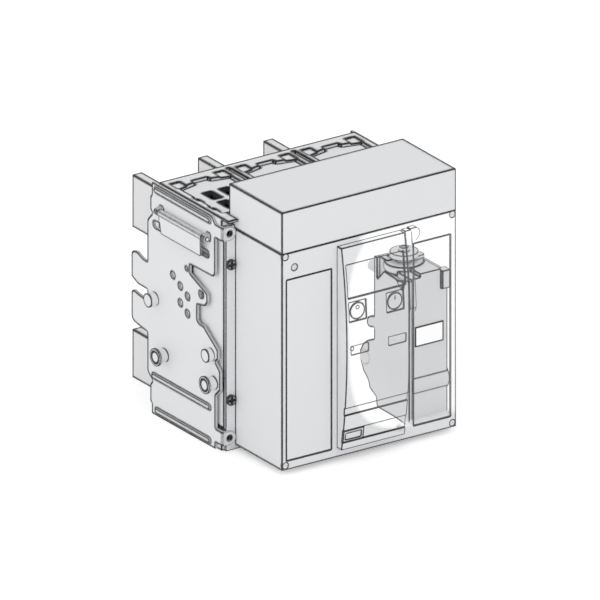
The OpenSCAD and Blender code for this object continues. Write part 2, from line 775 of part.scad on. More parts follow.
module motor_crank() {
  nut_r = spindle_r + 0.3;
  top = crank_z + crank_t;
  color(motor_grey) place() {
    rod_z(spindle_r, crank_x, crank_y, [motor_top - 19, crank_z + over]);
    rod_z(crank_r, crank_x, crank_y, [crank_z, top]);
    difference() {
      rod_z(nut_r, crank_x, crank_y, [crank_z + over, top + 4]);
      rod_z(spindle_r - 1.6, crank_x, crank_y, [top + 1, top + 5]);
    }
  }
}

// A ring round the spindle with a short arm, between the housing and the crank disc
module motor_pawl() {
  color(motor_grey) place() translate([crank_x, crank_y, pawl_z]) difference() {
    union() {
      cylinder(r = 8, h = pawl_t);
      linear_extrude(pawl_t) polygon(rounded([
        [0, -7.5, 0], [0, 7.5, 0], [11, 4, 2], [18.5, 1, 2], [18.5, -6, 2], [11, -7, 2]
      ]));
    }
    translate([0, 0, -over]) cylinder(r = spindle_r + running, h = pawl_t + 2 * over);
  }
}

module motor_label() {
  color("white") place()
    box([label_x, label_x + label_w], [motor_y + label_y, motor_y + label_y + label_t],
        [label_z, label_z + label_h]);
}

// Front cover and what is set in it

cover_shank_r = 1.6;
cover_screw_x = cover_w / 2 - 3.7;
cover_screw_z = [cover_z + 4, cover_top - 3.2];
boss_r = 3.2;
panel_gap = 0.25;
panel_lip = 1;
panel_t = cover_wall + 1.6;
left_panel_x = [-cover_w / 2 + 4.6, -cover_w / 2 + 4.6 + left_panel_w];
left_panel_z = [13, 13 + left_panel_h];
clear_panel_x = [cover_w / 2 - 5.8 - clear_panel_w, cover_w / 2 - 5.8];
clear_panel_z = [15.4, 15.4 + clear_panel_h];
bracket_gap = [1.7, 9.1];
bracket_x = [left_panel_x[1] + panel_lip + bracket_gap[0], clear_panel_x[0] - panel_lip - bracket_gap[1]];
seal_x = -cover_w / 2 + 13.2;
seal_z = 197.2;
seal_r = 2.9;

module front_cover() {
  inside = cover_w / 2 - cover_wall;
  color(cover_grey) place() difference() {
    union() {
      difference() {
        box([-cover_w / 2, cover_w / 2], [0, cover_d], [cover_z, cover_top]);
        box([-inside, inside], [cover_wall, cover_d + over],
            [cover_z + cover_wall, cover_top - cover_wall]);
      }
      for (x = [-cover_screw_x, cover_screw_x], z = cover_screw_z) rod_y(boss_r, x, [over, cover_d], z);
    }
    box(left_panel_x, [-over, cover_wall + over], left_panel_z);
    box(clear_panel_x, [-over, cover_wall + over], clear_panel_z);
    box(inner_x, [-over, cover_wall + over], inner_z);
    rod_y(seal_r, seal_x, [-over, cover_wall - 1], seal_z);
    for (x = [-cover_screw_x, cover_screw_x], z = cover_screw_z) {
      rod_y(cover_shank_r + running, x, [-over, cover_d + over], z);
      rod_y(cover_screw_r + running, x, [-over, 2], z);
    }
  }
}

module cover_screws() {
  color(dark_steel) place() for (x = [-cover_screw_x, cover_screw_x], z = cover_screw_z) {
    rod_y(cover_shank_r - running, x, [2, case_y - near], z);
    difference() {
      rod_y(cover_screw_r - running, x, [0.3, 2], z);
      box([x - cover_screw_r, x + cover_screw_r], [0, 1], [z - 0.4, z + 0.4]);
    }
  }
}

module panel(x, z) {
  box([x[0] + panel_gap, x[1] - panel_gap], [0.2, cover_wall], [z[0] + panel_gap, z[1] - panel_gap]);
  box([x[0] - panel_lip, x[1] + panel_lip], [cover_wall, panel_t], [z[0] - panel_lip, z[1] + panel_lip]);
}

module left_panel() {
  color(cover_grey) place() panel(left_panel_x, left_panel_z);
}

module clear_panel() {
  color(glass) place() panel(clear_panel_x, clear_panel_z);
}

module top_hood() {
  inside = cover_w / 2 - cover_wall;
  color(cover_grey) place() difference() {
    box([-cover_w / 2, cover_w / 2], [0, hood_d], [cover_top, hood_top]);
    box([-inside, inside], [cover_wall, hood_d - cover_wall], [cover_top - over, hood_top - cover_wall]);
  }
}

// Rows of screw terminals that stand on the cover, under the hood

group_inset = 6;
group_gap = 4;
group_y = [12, 62];
group_base = 12;
tower_count = 8;
tower_inset = 1.4;
tower_share = 0.75;
tower_y = [24, 52];
tower_h = 28;

module terminal_blocks() {
  group_pitch = (cover_w - 2 * group_inset) / 3;
  group_w = group_pitch - group_gap;
  pitch = (group_w - 2 * tower_inset) / tower_count;
  half = tower_share * pitch / 2;
  color(motor_grey) place() for (group = [-1, 0, 1]) translate([group * group_pitch, 0, cover_top]) {
    box([-group_w / 2, group_w / 2], group_y, [0, group_base]);
    for (i = [0 : tower_count - 1])
      translate([(i - (tower_count - 1) / 2) * pitch, 0, 0])
        box([-half, half], tower_y, [group_base - 1, tower_h]);
  }
}

// Bezel with its controls

// What lies behind the bezel's curved face, or behind a face as much deeper
module behind_face(depth) {
  rise = bezel_h + 2 * over;
  intersection() {
    translate([-bezel_w, bezel_r - bezel_bulge, bezel_mid]) rotate([0, 90, 0])
      cylinder(r = bezel_r - depth, h = 2 * bezel_w, $fn = 360);
    box([-bezel_w, bezel_w], [-bezel_bulge - over, over], [bezel_mid - rise / 2, bezel_mid + rise / 2]);
  }
}

module face_band(x, z, depth) {
  difference() {
    box(x, [-bezel_bulge - over, 0], z);
    behind_face(depth);
  }
}

module bezel() {
  half = button_square / 2;
  color(cover_grey) place() difference() {
    intersection() {
      behind_face(0);
      box(bezel_x, [-bezel_bulge - over, 0], bezel_z);
    }
    intersection() {
      behind_face(bezel_wall);
      box(inner_x, [-bezel_bulge, over], inner_z);
    }
    face_band(inner_x, band_z, band_depth);
    face_band([bezel_x[0] - over, bezel_x[1] + over], rib_z, groove);
    face_band([bezel_x[0] - over, bezel_x[1] + over], foot_z, groove);
    for (x = [off_x, on_x]) {
      face_band([x - half, x + half], [button_z - half, button_z + half], groove);
      rod_y(button_r + 0.2, x, [-bezel_bulge - over, 0], button_z);
    }
    for (x = window_x)
      box([x - window_w / 2, x + window_w / 2], [-bezel_bulge - over, -5], [window_z, window_z + window_h]);
    rod_x(handle_shaft_r + running, [inner_x[1] - over, bezel_x[1] + over], pivot_y, pivot_z);
  }
}

module bezel_bracket() {
  y = [cover_wall, cover_wall + bracket_t];
  color(pale) place() difference() {
    box(bracket_x, y, bracket_z);
    for (x = [off_x, on_x]) rod_y(button_stem_r + running, x, [y[0] - over, y[1] + over], button_z);
    for (x = window_x)
      box([x - stem_w / 2 - 0.1, x + stem_w / 2 + 0.1], [y[0] - over, y[1] + over],
          [window_z - near, window_z + stem_h + flag_travel + near]);
  }
}

module push_button(x) {
  front = face_y(button_z) + button_sink;
  stop = cover_wall - button_travel;
  back = cover_wall + bracket_t;
  rod_y(button_r, x, [front, front + button_head], button_z);
  rod_y(button_stem_r, x, [front + over, back + collar_t], button_z);
  for (y = [stop - collar_t, back + near]) rod_y(button_stem_r + collar_t, x, [y, y + collar_t], button_z);
}

module off_button() {
  color(cover_grey) place() push_button(off_x);
}

module on_button() {
  color(cover_grey) place() push_button(on_x);
}

module flag(x) {
  front = -bezel_bulge + bezel_wall + loose;
  low = window_z - flag_drop;
  box([x - window_w / 2 - 0.9, x + window_w / 2 + 0.9], [front, front + flag_t],
      [low, window_z + window_h + 1.6]);
  box([x - stem_w / 2, x + stem_w / 2], [front + flag_t, cover_wall + bracket_t + 4],
      [window_z, window_z + stem_h]);
  box([x - stem_w / 2 - 2, x + stem_w / 2 + 2], [cover_wall + bracket_t + near, cover_wall + bracket_t + 2],
      [window_z, window_z + stem_h]);
}

module position_flag() {
  color("white") place() flag(window_x[0]);
}

module charge_flag() {
  color("white") place() flag(window_x[1]);
}

module label_holder() {
  x = [bezel_x[0] + 0.2, bezel_x[0] + 22.5];
  z = [foot_z[0] + 0.2, foot_z[1] - 0.2];
  color(pale) place() difference() {
    intersection() {
      difference() {
        behind_face(0);
        behind_face(groove);
      }
      box(x, [-bezel_bulge - over, 0], z);
    }
    box([x[0] + 3, x[1] - 3], [-bezel_bulge - over, 0], [z[0] + 2.6, z[1] - 3.4]);
  }
}

module charging_handle() {
  x = [handle_x, handle_x + handle_w];
  tab_z = handle_top + 1.5;
  color(cover_grey) place() difference() {
    union() {
      rod_x(pivot_r, x, pivot_y, pivot_z);
      intersection() {
        behind_face(0);
        box(x, [-bezel_bulge, pivot_y + pivot_r], [pivot_z, handle_top]);
      }
      along([pivot_y + 0.5, pivot_y + 6.5])
        polygon(rounded([
          [x[1] - over, tab_z - 16, 0], [x[1] + 2, tab_z - 16, 2], [x[1] + tab_w, tab_z - 8, 5],
          [x[1] + tab_w - 1.6, tab_z, 4.6], [x[1] - over, tab_z - 0.5, 0]
        ]));
    }
    rod_x(handle_shaft_r + running, [x[0] - over, x[0] + 4], pivot_y, pivot_z);
  }
}

module handle_shaft() {
  color(dark_steel) place() {
    rod_x(handle_shaft_r, [inner_x[1] - 4, handle_x + 4], pivot_y, pivot_z);
    rod_x(handle_shaft_r + over, [inner_x[1] - 4, inner_x[1] - near], pivot_y, pivot_z);
  }
}

// Side plates with their guides, rollers and folding grips

module plate_outline() {
  front = plate_front;
  edge = plate_edge;
  polygon(rounded([
    [edge - 7.1, plate_h, 1.5], [edge - 7.1, plate_h - 11.9, 1], [edge - 4.7, plate_h - 14.8, 1],
    [edge - 4.7, plate_h - 27.2, 2], [edge - 7.9, plate_h - 30, 1], [edge, plate_h - 38.4, 5],
    [edge, 143.2, 1], [edge + 7.1, 143.6, 4], [edge + 16.3, 147, 3], [hook_y, 146, 5],
    [hook_y, 120.6, 2], [edge + 14.6, 116.4, 1], [edge, 116.2, 0.5],
    [edge, 105.5, 0.5], [edge + 15.5, 107.5, 1], [hook_y, 109.5, 4],
    [hook_y, 79, 6], [edge + 11.6, 76.7, 2], [edge, 75.4, 1], [edge, 38, 5],
    [edge - 8.2, 31.6, 1], [edge - 4.7, 27.1, 2], [edge - 4.7, 10.7, 1], [edge - 7.1, 9.6, 0.5],
    [edge - 7.1, 0, 1], [front, 0, 1], [front, 50.9, 1], [2.3, 58.3, 2], [2.3, 76.4, 2],
    [front + 0.5, 83.4, 1], [front - 4, 86.9, 1], [front - 3.5, 96.3, 2], [front + 15.5, 109, 1],
    [front + 17.9, 111.5, 1], [front + 25.8, 111.7, 2], [front + 29, 114, 1], [front + 29, 128.9, 1],
    [front + 16.3, 131.3, 3], [front + 12.4, 136, 2], [front + 13.2, 144.4, 3], [front + 40.9, 155, 1],
    [front + 40.9, 163.5, 1.5], [front + 0.5, 164, 5], [front + 0.5, plate_h - 6, 6],
    [front + 6, plate_h, 4]
  ]));
}

module ear(z) {
  color(steel) intersection() {
    translate([0, 0, z - ear_r]) linear_extrude(2 * ear_r) polygon(rounded([
      [ear_x - ear_r, -plate_t, 0], [half_w + plate_t, -plate_t, plate_t + bend_r],
      [half_w + plate_t, plate_front + over, 0], [half_w, plate_front + over, 0],
      [half_w, 0, bend_r], [ear_x - ear_r, 0, 0]
    ]));
    union() {
      rod_y(ear_r, ear_x, [-2 * plate_t, plate_front], z);
      box([ear_x, half_w + 2 * plate_t], [-2 * plate_t, plate_front + 2 * over], [z - ear_r, z + ear_r]);
    }
  }
}

module bead(y, z) {
  x = [half_w + plate_t - 0.2, half_w + plate_t + bead_t];
  box(x, y, [z - bead_h / 2, z + bead_h / 2]);
  for (end = y) rod_x(bead_h / 2, x, end, z);
}

// Ring round the grip's pin, with a strap to the plate
module grip_lug(y) {
  outer = 3.4;
  along([y, y + lug_w]) difference() {
    union() {
      translate([grip_x, grip_z]) circle(r = outer);
      polygon([
        [half_w + plate_t - 0.2, grip_z - 1.4], [grip_x, grip_z - outer], [grip_x, grip_z + outer],
        [half_w + plate_t - 0.2, grip_z + 4.2]
      ]);
    }
    translate([grip_x, grip_z]) circle(r = grip_pin_r);
  }
}

module side_plate() {
  through = [half_w - over, half_w + plate_t + over];
  difference() {
    union() {
      across([half_w, half_w + plate_t]) plate_outline();
      for (z = [ear_z, ear_z + ear_pitch]) ear(z);
      bead([plate_front + 9.8, plate_edge - 13.8], plate_h - 6.1);
      bead([plate_front + 9.8, plate_edge - 10.3], 37);
      bead([plate_front + 9.8, plate_edge - 15.3], 5.2);
      for (y = [grip_y - lug_w - near, grip_y + grip_len + near]) grip_lug(y);
    }
    for (z = [ear_z, ear_z + ear_pitch]) rod_y(ear_hole_r, ear_x, [-2 * plate_t, 1], z);
    for (p = plate_holes) rod_x(3, through, p[0], p[1]);
    rod_x(1.9, through, 55.5, 157.7);
    across(through) polygon(rounded([[29, 144, 1.5], [29, 139, 1.5], [34.5, 137, 1.5], [36, 143, 1.5]]));
    box(through, [plate_front + 13.4, plate_edge - 12.4], [180, 186]);
    for (y = [plate_front + 13.4, plate_edge - 12.4]) rod_x(3, through, y, 183);
    for (y = roller_y) rod_x(axle_r + running, through, y, roller_z);
  }
}

// Puts what is measured from the back of the ears in its place, on the right hand side
module on_plate() place() translate([0, cover_d, 0]) children();

module side_plate_left() {
  color(steel) mirror([1, 0, 0]) on_plate() side_plate();
}

module side_plate_right() {
  color(steel) on_plate() side_plate();
}

module guide_studs() {
  out = half_w + plate_t;
  color(steel) on_plate() both_sides() {
    rod_x(stud_r, [out, out + stud_len], stud_rear[0], stud_rear[1]);
    rod_x(stud_r - 0.2, [out, out + stud_len - 1.5], stud_front[0], stud_front[1]);
  }
}

module roller_axles() {
  out = half_w + plate_t;
  head = out + near + roller_len - 1.1;
  color(dark_steel) on_plate() both_sides() for (y = roller_y) {
    rod_x(axle_r, [half_w, head], y, roller_z);
    rod_x(axle_r + 0.9, [head, head + 1], y, roller_z);
  }
}

module roller(y) {
  inner = half_w + plate_t + near;
  difference() {
    union() {
      rod_x(roller_r, [inner, inner + roller_len], y, roller_z);
      rod_x(roller_flange_r, [inner + roller_len - 2, inner + roller_len], y, roller_z);
    }
    rod_x(axle_r + running, [inner - over, inner + roller_len + over], y, roller_z);
    rod_x(axle_r + 1.2, [inner + roller_len - 1.4, inner + roller_len + over], y, roller_z);
  }
}

module roller_front_left() {
  color(pale) mirror([1, 0, 0]) on_plate() roller(roller_y[0]);
}

module roller_rear_left() {
  color(pale) mirror([1, 0, 0]) on_plate() roller(roller_y[1]);
}

module roller_front_right() {
  color(pale) on_plate() roller(roller_y[0]);
}

module roller_rear_right() {
  color(pale) on_plate() roller(roller_y[1]);
}

// A folded sheet flap on a barrel round the pin
module grip() {
  flap_t = 1.5;
  barrel_r = 3;
  y = [grip_y, grip_y + grip_len];
  difference() {
    union() {
      rod_y(barrel_r, grip_x, y, grip_z);
      box([grip_x + 0.9, grip_x + 0.9 + flap_t], [y[0] + 1.5, y[1] - 1.5], [grip_z - 8, grip_z + 2]);
      across([grip_x + 0.9, grip_x + 0.9 + flap_t]) polygon(rounded([
        [y[0] + 1.5, grip_z, 0], [y[1] - 1.5, grip_z, 0],
        [y[1] - 5, grip_z - grip_drop, 1.5], [y[0] + 1, grip_z - grip_drop, 1.5]
      ]));
    }
    rod_y(grip_pin_r + running, grip_x, [y[0] - over, y[1] + over], grip_z);
  }
}

module grip_left() {
  color(steel) mirror([1, 0, 0]) on_plate() grip();
}

module grip_right() {
  color(steel) on_plate() grip();
}

module grip_pins() {
  color(dark_steel) on_plate() both_sides()
    rod_y(grip_pin_r, grip_x, [grip_y - lug_w - near - 1, grip_y + grip_len + near + lug_w + 1], grip_z);
}

// One module for each pole's pieces

module arc_chute_1() arc_chute(pole_x[0]);
module arc_chute_2() arc_chute(pole_x[1]);
module arc_chute_3() arc_chute(pole_x[2]);
module upper_terminal_1() upper_terminal(pole_x[0]);
module upper_terminal_2() upper_terminal(pole_x[1]);
module upper_terminal_3() upper_terminal(pole_x[2]);
module lower_terminal_1() lower_terminal(pole_x[0]);
module lower_terminal_2() lower_terminal(pole_x[1]);
module lower_terminal_3() lower_terminal(pole_x[2]);
module moving_contact_1() moving_contact(pole_x[0]);
module moving_contact_2() moving_contact(pole_x[1]);
module moving_contact_3() moving_contact(pole_x[2]);
module mech_side_left() mech_side(side_x[0]);
module mech_side_right() mech_side(side_x[1]);

case_base();
arc_chute_1();
arc_chute_2();
arc_chute_3();
arc_plates();
upper_terminal_1();
upper_terminal_2();
upper_terminal_3();
lower_terminal_1();
lower_terminal_2();
lower_terminal_3();
moving_contact_1();
moving_contact_2();
moving_contact_3();
pole_shaft();
shaft_bushes();
front_frame();
frame_screws();
mech_cover();
mech_side_left();
mech_side_right();
spring_bars();
spring_rod();
closing_spring();
spring_crosshead();
ratchet_shaft();
motor_side_plate();
motor_housing();
motor_crank();
motor_pawl();
motor_label();
front_cover();
cover_screws();
left_panel();
clear_panel();
top_hood();
terminal_blocks();
bezel();
bezel_bracket();
off_button();
on_button();
position_flag();
charge_flag();
label_holder();
charging_handle();
handle_shaft();
side_plate_left();
side_plate_right();
guide_studs();
roller_axles();
roller_front_left();
roller_rear_left();
roller_front_right();
roller_rear_right();
grip_left();
grip_right();
grip_pins();
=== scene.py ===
# %% [markdown]
# # A withdrawable switch disconnector, dressed in Blender
# The imported model gives every rigid piece at its real size. This lesson adds the finishes, the
# signs on the controls, a coil for the closing spring, a floor, soft light and the camera. The
# drawing that it follows shows the front of the unit as if it were see-through round the gear
# motor, so the finishes do that too.

# %% Load the frame
import json
import math

import bmesh
import bpy
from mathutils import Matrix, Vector


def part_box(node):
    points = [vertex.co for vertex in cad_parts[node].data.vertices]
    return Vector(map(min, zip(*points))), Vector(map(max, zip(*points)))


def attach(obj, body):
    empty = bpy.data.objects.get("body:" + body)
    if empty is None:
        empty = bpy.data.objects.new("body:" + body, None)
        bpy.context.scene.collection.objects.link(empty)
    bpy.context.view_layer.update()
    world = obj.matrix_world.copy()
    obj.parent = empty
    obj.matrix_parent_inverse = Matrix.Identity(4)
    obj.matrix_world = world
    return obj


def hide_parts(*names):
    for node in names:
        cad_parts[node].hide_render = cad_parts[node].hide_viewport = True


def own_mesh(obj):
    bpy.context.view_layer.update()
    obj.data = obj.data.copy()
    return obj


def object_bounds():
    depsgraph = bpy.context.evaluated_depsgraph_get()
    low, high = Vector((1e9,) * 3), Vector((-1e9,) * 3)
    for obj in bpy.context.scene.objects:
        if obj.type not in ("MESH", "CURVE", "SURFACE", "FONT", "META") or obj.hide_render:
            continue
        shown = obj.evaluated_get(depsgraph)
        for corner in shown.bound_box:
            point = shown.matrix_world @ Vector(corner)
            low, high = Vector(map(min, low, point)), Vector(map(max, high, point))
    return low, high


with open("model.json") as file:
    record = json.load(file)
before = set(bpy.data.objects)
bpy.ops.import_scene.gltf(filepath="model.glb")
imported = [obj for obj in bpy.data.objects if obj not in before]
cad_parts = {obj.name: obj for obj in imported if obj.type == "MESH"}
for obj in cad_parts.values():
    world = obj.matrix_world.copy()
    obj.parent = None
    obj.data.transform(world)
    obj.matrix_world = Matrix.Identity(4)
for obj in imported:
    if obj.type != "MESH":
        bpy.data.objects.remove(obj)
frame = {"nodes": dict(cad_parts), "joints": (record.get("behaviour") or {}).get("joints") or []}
cad_low, cad_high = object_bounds()
nodes = frame["nodes"]
MM = 0.001
print("loaded", len(nodes), "nodes, box in mm:", [round(x / MM, 1) for x in cad_high - cad_low])

# %% [markdown]
# ## Landmarks
# The finishes need a few planes of the object: the face of the front cover, the back of the bay
# that holds the mechanism, and the outer faces of the case, the chutes, the frame and the bezel.
# They are measured from the nodes, so they follow the model if its sizes change.

# %% Measure the landmarks
cover_low, cover_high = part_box("front_cover")
case_low, case_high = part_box("case_base")
bezel_low, bezel_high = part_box("bezel")
bezel_mid = (bezel_low.z + bezel_high.z) / 2
face_y = cover_low.y
bay_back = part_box("mech_cover")[1].y
chute_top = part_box("arc_chute_1")[1].z
frame_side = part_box("front_frame")[1].x
print("cover face at", round(face_y / MM, 1), "and back of the bay at", round(bay_back / MM, 1))

# %% [markdown]
# ## Camera
# The drawing is a parallel projection: lines that are parallel on the object stay parallel on the
# paper. An orthographic camera does the same, so the only choices are its direction, its scale
# and the point that it looks at. The scale is the width of the picture in metres. The front will be
# see-through, so a ray may also pass many clear faces before it counts as lost.

# %% Place the camera
VIEW_AZIMUTH = -34.03
VIEW_ELEVATION = 22.51
PICTURE_WIDTH = 0.5324
AIM = Vector((-73.9 * MM, face_y, 164.4 * MM))
CAMERA_DISTANCE = 1.5
SIGHT_LENGTH = 20.0
CLEAR_FACES = 64


def toward_camera(azimuth, elevation):
    """The direction from the object to a camera at these angles, in degrees."""
    a, e = math.radians(azimuth), math.radians(elevation)
    return Vector((math.sin(a) * math.cos(e), -math.cos(a) * math.cos(e), math.sin(e)))


camera = bpy.data.objects.new("camera", bpy.data.cameras.new("camera"))
bpy.context.scene.collection.objects.link(camera)
camera.data.type = "ORTHO"
camera.data.ortho_scale = PICTURE_WIDTH
camera.data.clip_end = SIGHT_LENGTH
back = toward_camera(VIEW_AZIMUTH, VIEW_ELEVATION)
camera.location = AIM + back * CAMERA_DISTANCE
camera.rotation_mode = "QUATERNION"
camera.rotation_quaternion = (-back).to_track_quat("-Z", "Y")
bpy.context.scene.camera = camera
bpy.context.scene.view_settings.view_transform = "Standard"
bpy.context.scene.cycles.transparent_max_bounces = CLEAR_FACES
print("camera looks along", [round(x, 3) for x in -back])

# %% [markdown]
# ## Shader maths as Python
# A material is a net of nodes. Wiring each sum by hand is slow to write and slower to read, so
# `Wire` wraps one output socket and overloads the operators: `1 - mask * 0.5` adds the Math nodes
# that work it out. Two masks are joined with `|`, which is 1 where either of them is.


# %% One socket that can be added and multiplied
class Wire:
    """An output socket on a sheet of nodes, for use in sums."""

    def __init__(self, sheet, socket):
        self.sheet = sheet
        self.socket = socket

    def math(self, operation, *values):
        """A Math node on these values, in their order."""
        return self.sheet.node("ShaderNodeMath", {"operation": operation}, dict(enumerate(values)))

    def __add__(self, other):
        return self.math("ADD", self, other)

    def __radd__(self, other):
        return self.math("ADD", other, self)

    def __sub__(self, other):
        return self.math("SUBTRACT", self, other)

    def __rsub__(self, other):
        return self.math("SUBTRACT", other, self)

    def __mul__(self, other):
        return self.math("MULTIPLY", self, other)

    def __rmul__(self, other):
        return self.math("MULTIPLY", other, self)

    def __truediv__(self, other):
        return self.math("DIVIDE", self, other)

    def __rtruediv__(self, other):
        return self.math("DIVIDE", other, self)

    def __pow__(self, other):
        return self.math("POWER", self, other)

    def __rpow__(self, other):
        return self.math("POWER", other, self)

    def __lt__(self, other):
        return self.math("LESS_THAN", self, other)

    def __gt__(self, other):
        return self.math("GREATER_THAN", self, other)

    def __or__(self, other):
        return self.math("MAXIMUM", self, other)

    def __ror__(self, other):
        return self.math("MAXIMUM", other, self)

    def __abs__(self):
        return self.math("ABSOLUTE", self)


print("a Wire knows + - * / ** < > | and abs")

# %% [markdown]
# ## One sheet of nodes for each material
# Everything that isn't a sum comes from one method, `Sheet.node`. It takes the kind of node, its
# settings, and what goes into its sockets. The other methods are the few nodes that most finishes
# share. The same class also holds the nodes of the world, which has a tree like a material's.


# %% A sheet of nodes
class Sheet:
    """The node tree of a new material or world."""

    def __init__(self, name, kind=bpy.data.materials, shader="Principled BSDF"):
        self.owner = kind.new(name)
        self.owner.use_nodes = True
        self.tree = self.owner.node_tree
        self.shader = self.tree.nodes[shader]

    def set(self, node, inputs):
        """Gives a node's sockets their values or links."""
        for key, value in inputs.items():
            if isinstance(value, Wire):
                self.tree.links.new(value.socket, node.inputs[key])
            else:
                node.inputs[key].default_value = value

    def node(self, kind, settings=None, inputs=None, output=0):
        """Adds a node, sets it up and returns one of its outputs."""
        made = self.tree.nodes.new(kind)
        for key, value in (settings or {}).items():
            setattr(made, key, value)
        self.set(made, inputs or {})
        return Wire(self, made.outputs[output])

    def fed_by(self, name):
        """What feeds a socket of the shader so far."""
        return Wire(self, self.shader.inputs[name].links[0].from_socket)

    def parts(self, vector):
        """X, Y and Z of a vector as three wires."""
        split = self.node("ShaderNodeSeparateXYZ", inputs={0: vector})
        return [Wire(self, out) for out in split.socket.node.outputs]

    def place(self):
        """X, Y and Z on the piece, in metres, as three wires."""
        return self.parts(self.node("ShaderNodeTexCoord", output="Object"))

    def smooth(self, value, low, high):
        """0 below low, 1 above high, and a soft step between them."""
        inputs = {"Value": value, "From Min": low, "From Max": high}
        return self.node("ShaderNodeMapRange", {"interpolation_type": "SMOOTHSTEP"}, inputs)

    def blend(self, share, first, second):
        """A colour between two: the first where share is 0, and the second where it is 1."""
        return self.node("ShaderNodeMix", {"data_type": "RGBA"}, {0: share, 6: first, 7: second}, 2)

    def seen(self):
        """1 where the camera sees this, straight or in a reflection or through glass, and else 0."""
        rays = ("Is Camera Ray", "Is Glossy Ray", "Is Transmission Ray")
        camera_ray, gloss, glass = [self.node("ShaderNodeLightPath", output=ray) for ray in rays]
        return camera_ray | gloss | glass


print("materials before the first finish:", len(bpy.data.materials))

# %% [markdown]
# ## Grey levels
# The drawing has few colours: a light grey for plastic and steel, a darker grey for the gear
# motor, white where the front is see-through, and three inks. That white is partly a painted
# highlight on the plastic and partly the white glow of the bay behind it. Full ink is for the
# outlines, a soft one for what is seen through, and one between them for the motor. The darkest
# greys are painted shade in slots, in vents and on the frame's cut edges, and the same dark grey is
# also the own colour of the pole shaft and the arc splitters. All are written as the values that a
# picture editor shows, and turned into the linear values that shaders use.


# %% Name the greys
def linear(red, green, blue):
    """A colour picked in a picture editor, 0 to 255, as a shader's linear colour."""
    parts = [c / 255 for c in (red, green, blue)]
    return tuple(p / 12.92 if p <= 0.04045 else ((p + 0.055) / 1.055) ** 2.4 for p in parts) + (1,)


PLASTIC_GREY = linear(221, 222, 224)
STEEL_GREY = linear(222, 223, 225)
BLADE_GREY = linear(220, 220, 221)
MOTOR_GREY = linear(207, 208, 210)
SPRING_GREY = linear(150, 152, 156)
SCREW_GREY = linear(150, 151, 154)
DARK_GREY = linear(66, 66, 70)
SHADED_SIDE_GREY = linear(40, 40, 43)
INK = linear(14, 14, 16)
MOTOR_INK = linear(52, 53, 56)
SOFT_INK = linear(78, 79, 82)
WHITE = linear(254, 254, 254)
BLACK = (0, 0, 0, 1)
print("light grey is", [round(c, 3) for c in PLASTIC_GREY[:3]], "in linear light")

# %% [markdown]
# ## Outlines that belong to the surface
# A technical drawing outlines every fold. Real mouldings show the same thing more softly, as a
# dark joint or a rubbed edge. The Bevel node gives the direction that a surface would face if its
# edges were rounded. Where that differs from its true direction there is an edge, so the
# difference makes a mask for a thin line that stays on the piece from every side. Blender can also
# draw lines over the finished picture, but those belong to the picture and not to the piece.
#
# The unit is made to be seen from its front. Its sides and its top are then foreshortened, and a
# line on them has to be wider to look as strong, so the reach of the Bevel node grows with the
# sideways and the upward part of the true direction. The two gains say by how much.

# %% Find the edges
LINE = 2.1 * MM
BEZEL_LINE = 1.4 * MM
THIN_LINE = 1.4 * MM
FINE_LINE = 1.15 * MM
GAINS = (0.7, 1.1)
LINE_START = 0.001
LINE_FULL = 0.007
BEVEL_SAMPLES = 12


def edge_mask(sheet, reach, gains=GAINS):
    """1 along the piece's edges and 0 on its flats."""
    true = sheet.node("ShaderNodeNewGeometry", output="Normal")
    across, _, up = sheet.parts(true)
    wide = reach * (1 + abs(across) * gains[0] + abs(up) * gains[1])
    rounded = sheet.node("ShaderNodeBevel", {"samples": BEVEL_SAMPLES}, {"Radius": wide})
    inputs = {0: true, 1: rounded}
    agree = sheet.node("ShaderNodeVectorMath", {"operation": "DOT_PRODUCT"}, inputs, "Value")
    return sheet.smooth(1 - agree, LINE_START, LINE_FULL)


def outlined(sheet, colour, ink, line, reach, gains=GAINS):
    """The colour with edges in an ink of that strength, or on its own where the strength is 0."""
    if line == 0:
        return colour
    return sheet.blend(edge_mask(sheet, reach, gains) * line, colour, ink)


reaches = [round(LINE * (1 + gain) / MM, 1) for gain in (0, *GAINS)]
print("a line reaches, in mm on a front, a side and a top:", reaches)

# %% [markdown]
# ## The see-through front
# Round the gear motor the drawing leaves the front away: inside an upright oval the cover, the
# bezel and the controls are only thin outlines on white. One mask does this for all of them. It
# is 1 inside the oval and fades out at its rim, and it works on places on the object, so it stays
# where it is when the camera moves. A power above 2 makes the oval fuller at its corners. A hole
# cut in the cover would look much the same from here, but the real cover is whole.

# %% Shape the oval
OVAL_X = 60 * MM
OVAL_Z = 122 * MM
OVAL_HALF_WIDTH = 92 * MM
OVAL_HALF_HEIGHT = 104 * MM
OVAL_POWER = 2.8
OVAL_RIM = (0.9, 1.125)


def oval_mask(sheet, x, z):
    """1 inside the oval round the gear motor and 0 outside it."""
    across = abs(x - OVAL_X) / OVAL_HALF_WIDTH
    up = abs(z - OVAL_Z) / OVAL_HALF_HEIGHT
    return 1 - sheet.smooth(across ** OVAL_POWER + up ** OVAL_POWER, *OVAL_RIM)


print("the oval is", round(2 * OVAL_HALF_WIDTH / MM), "by", round(2 * OVAL_HALF_HEIGHT / MM), "mm")

# %% [markdown]
# ## Moulded plastic
# Moulded plastic isn't one flat colour: it has a fine grain from the mould, a faint cloudiness
# and small changes of gloss. Two noises make these. The fine one drives a bump and the roughness,
# and the coarse one tints the colour by a few parts in a hundred. A noise fills space, so unlike a
# picture laid on the surface it has no seams and needs no unwrapping.

# %% Mix a plastic
GRAIN_SCALE = 1800
GRAIN_DETAIL = 2.0
GRAIN_DEPTH = 0.05 * MM
GRAIN_GLOSS = 0.1
MOULD_GRAIN = 0.25
CLOUD_SCALE = 22
CLOUD_DETAIL = 3.0
CLOUD_SHARE = 0.06
DULLNESS = 0.45
PLASTIC_SHINE = 0.3


def surface_noise(sheet, scale, detail):
    """A noise of that many cells a metre, from 0 to 1."""
    where = sheet.node("ShaderNodeTexCoord", output="Object")
    return sheet.node("ShaderNodeTexNoise", inputs={"Vector": where, "Scale": scale, "Detail": detail})


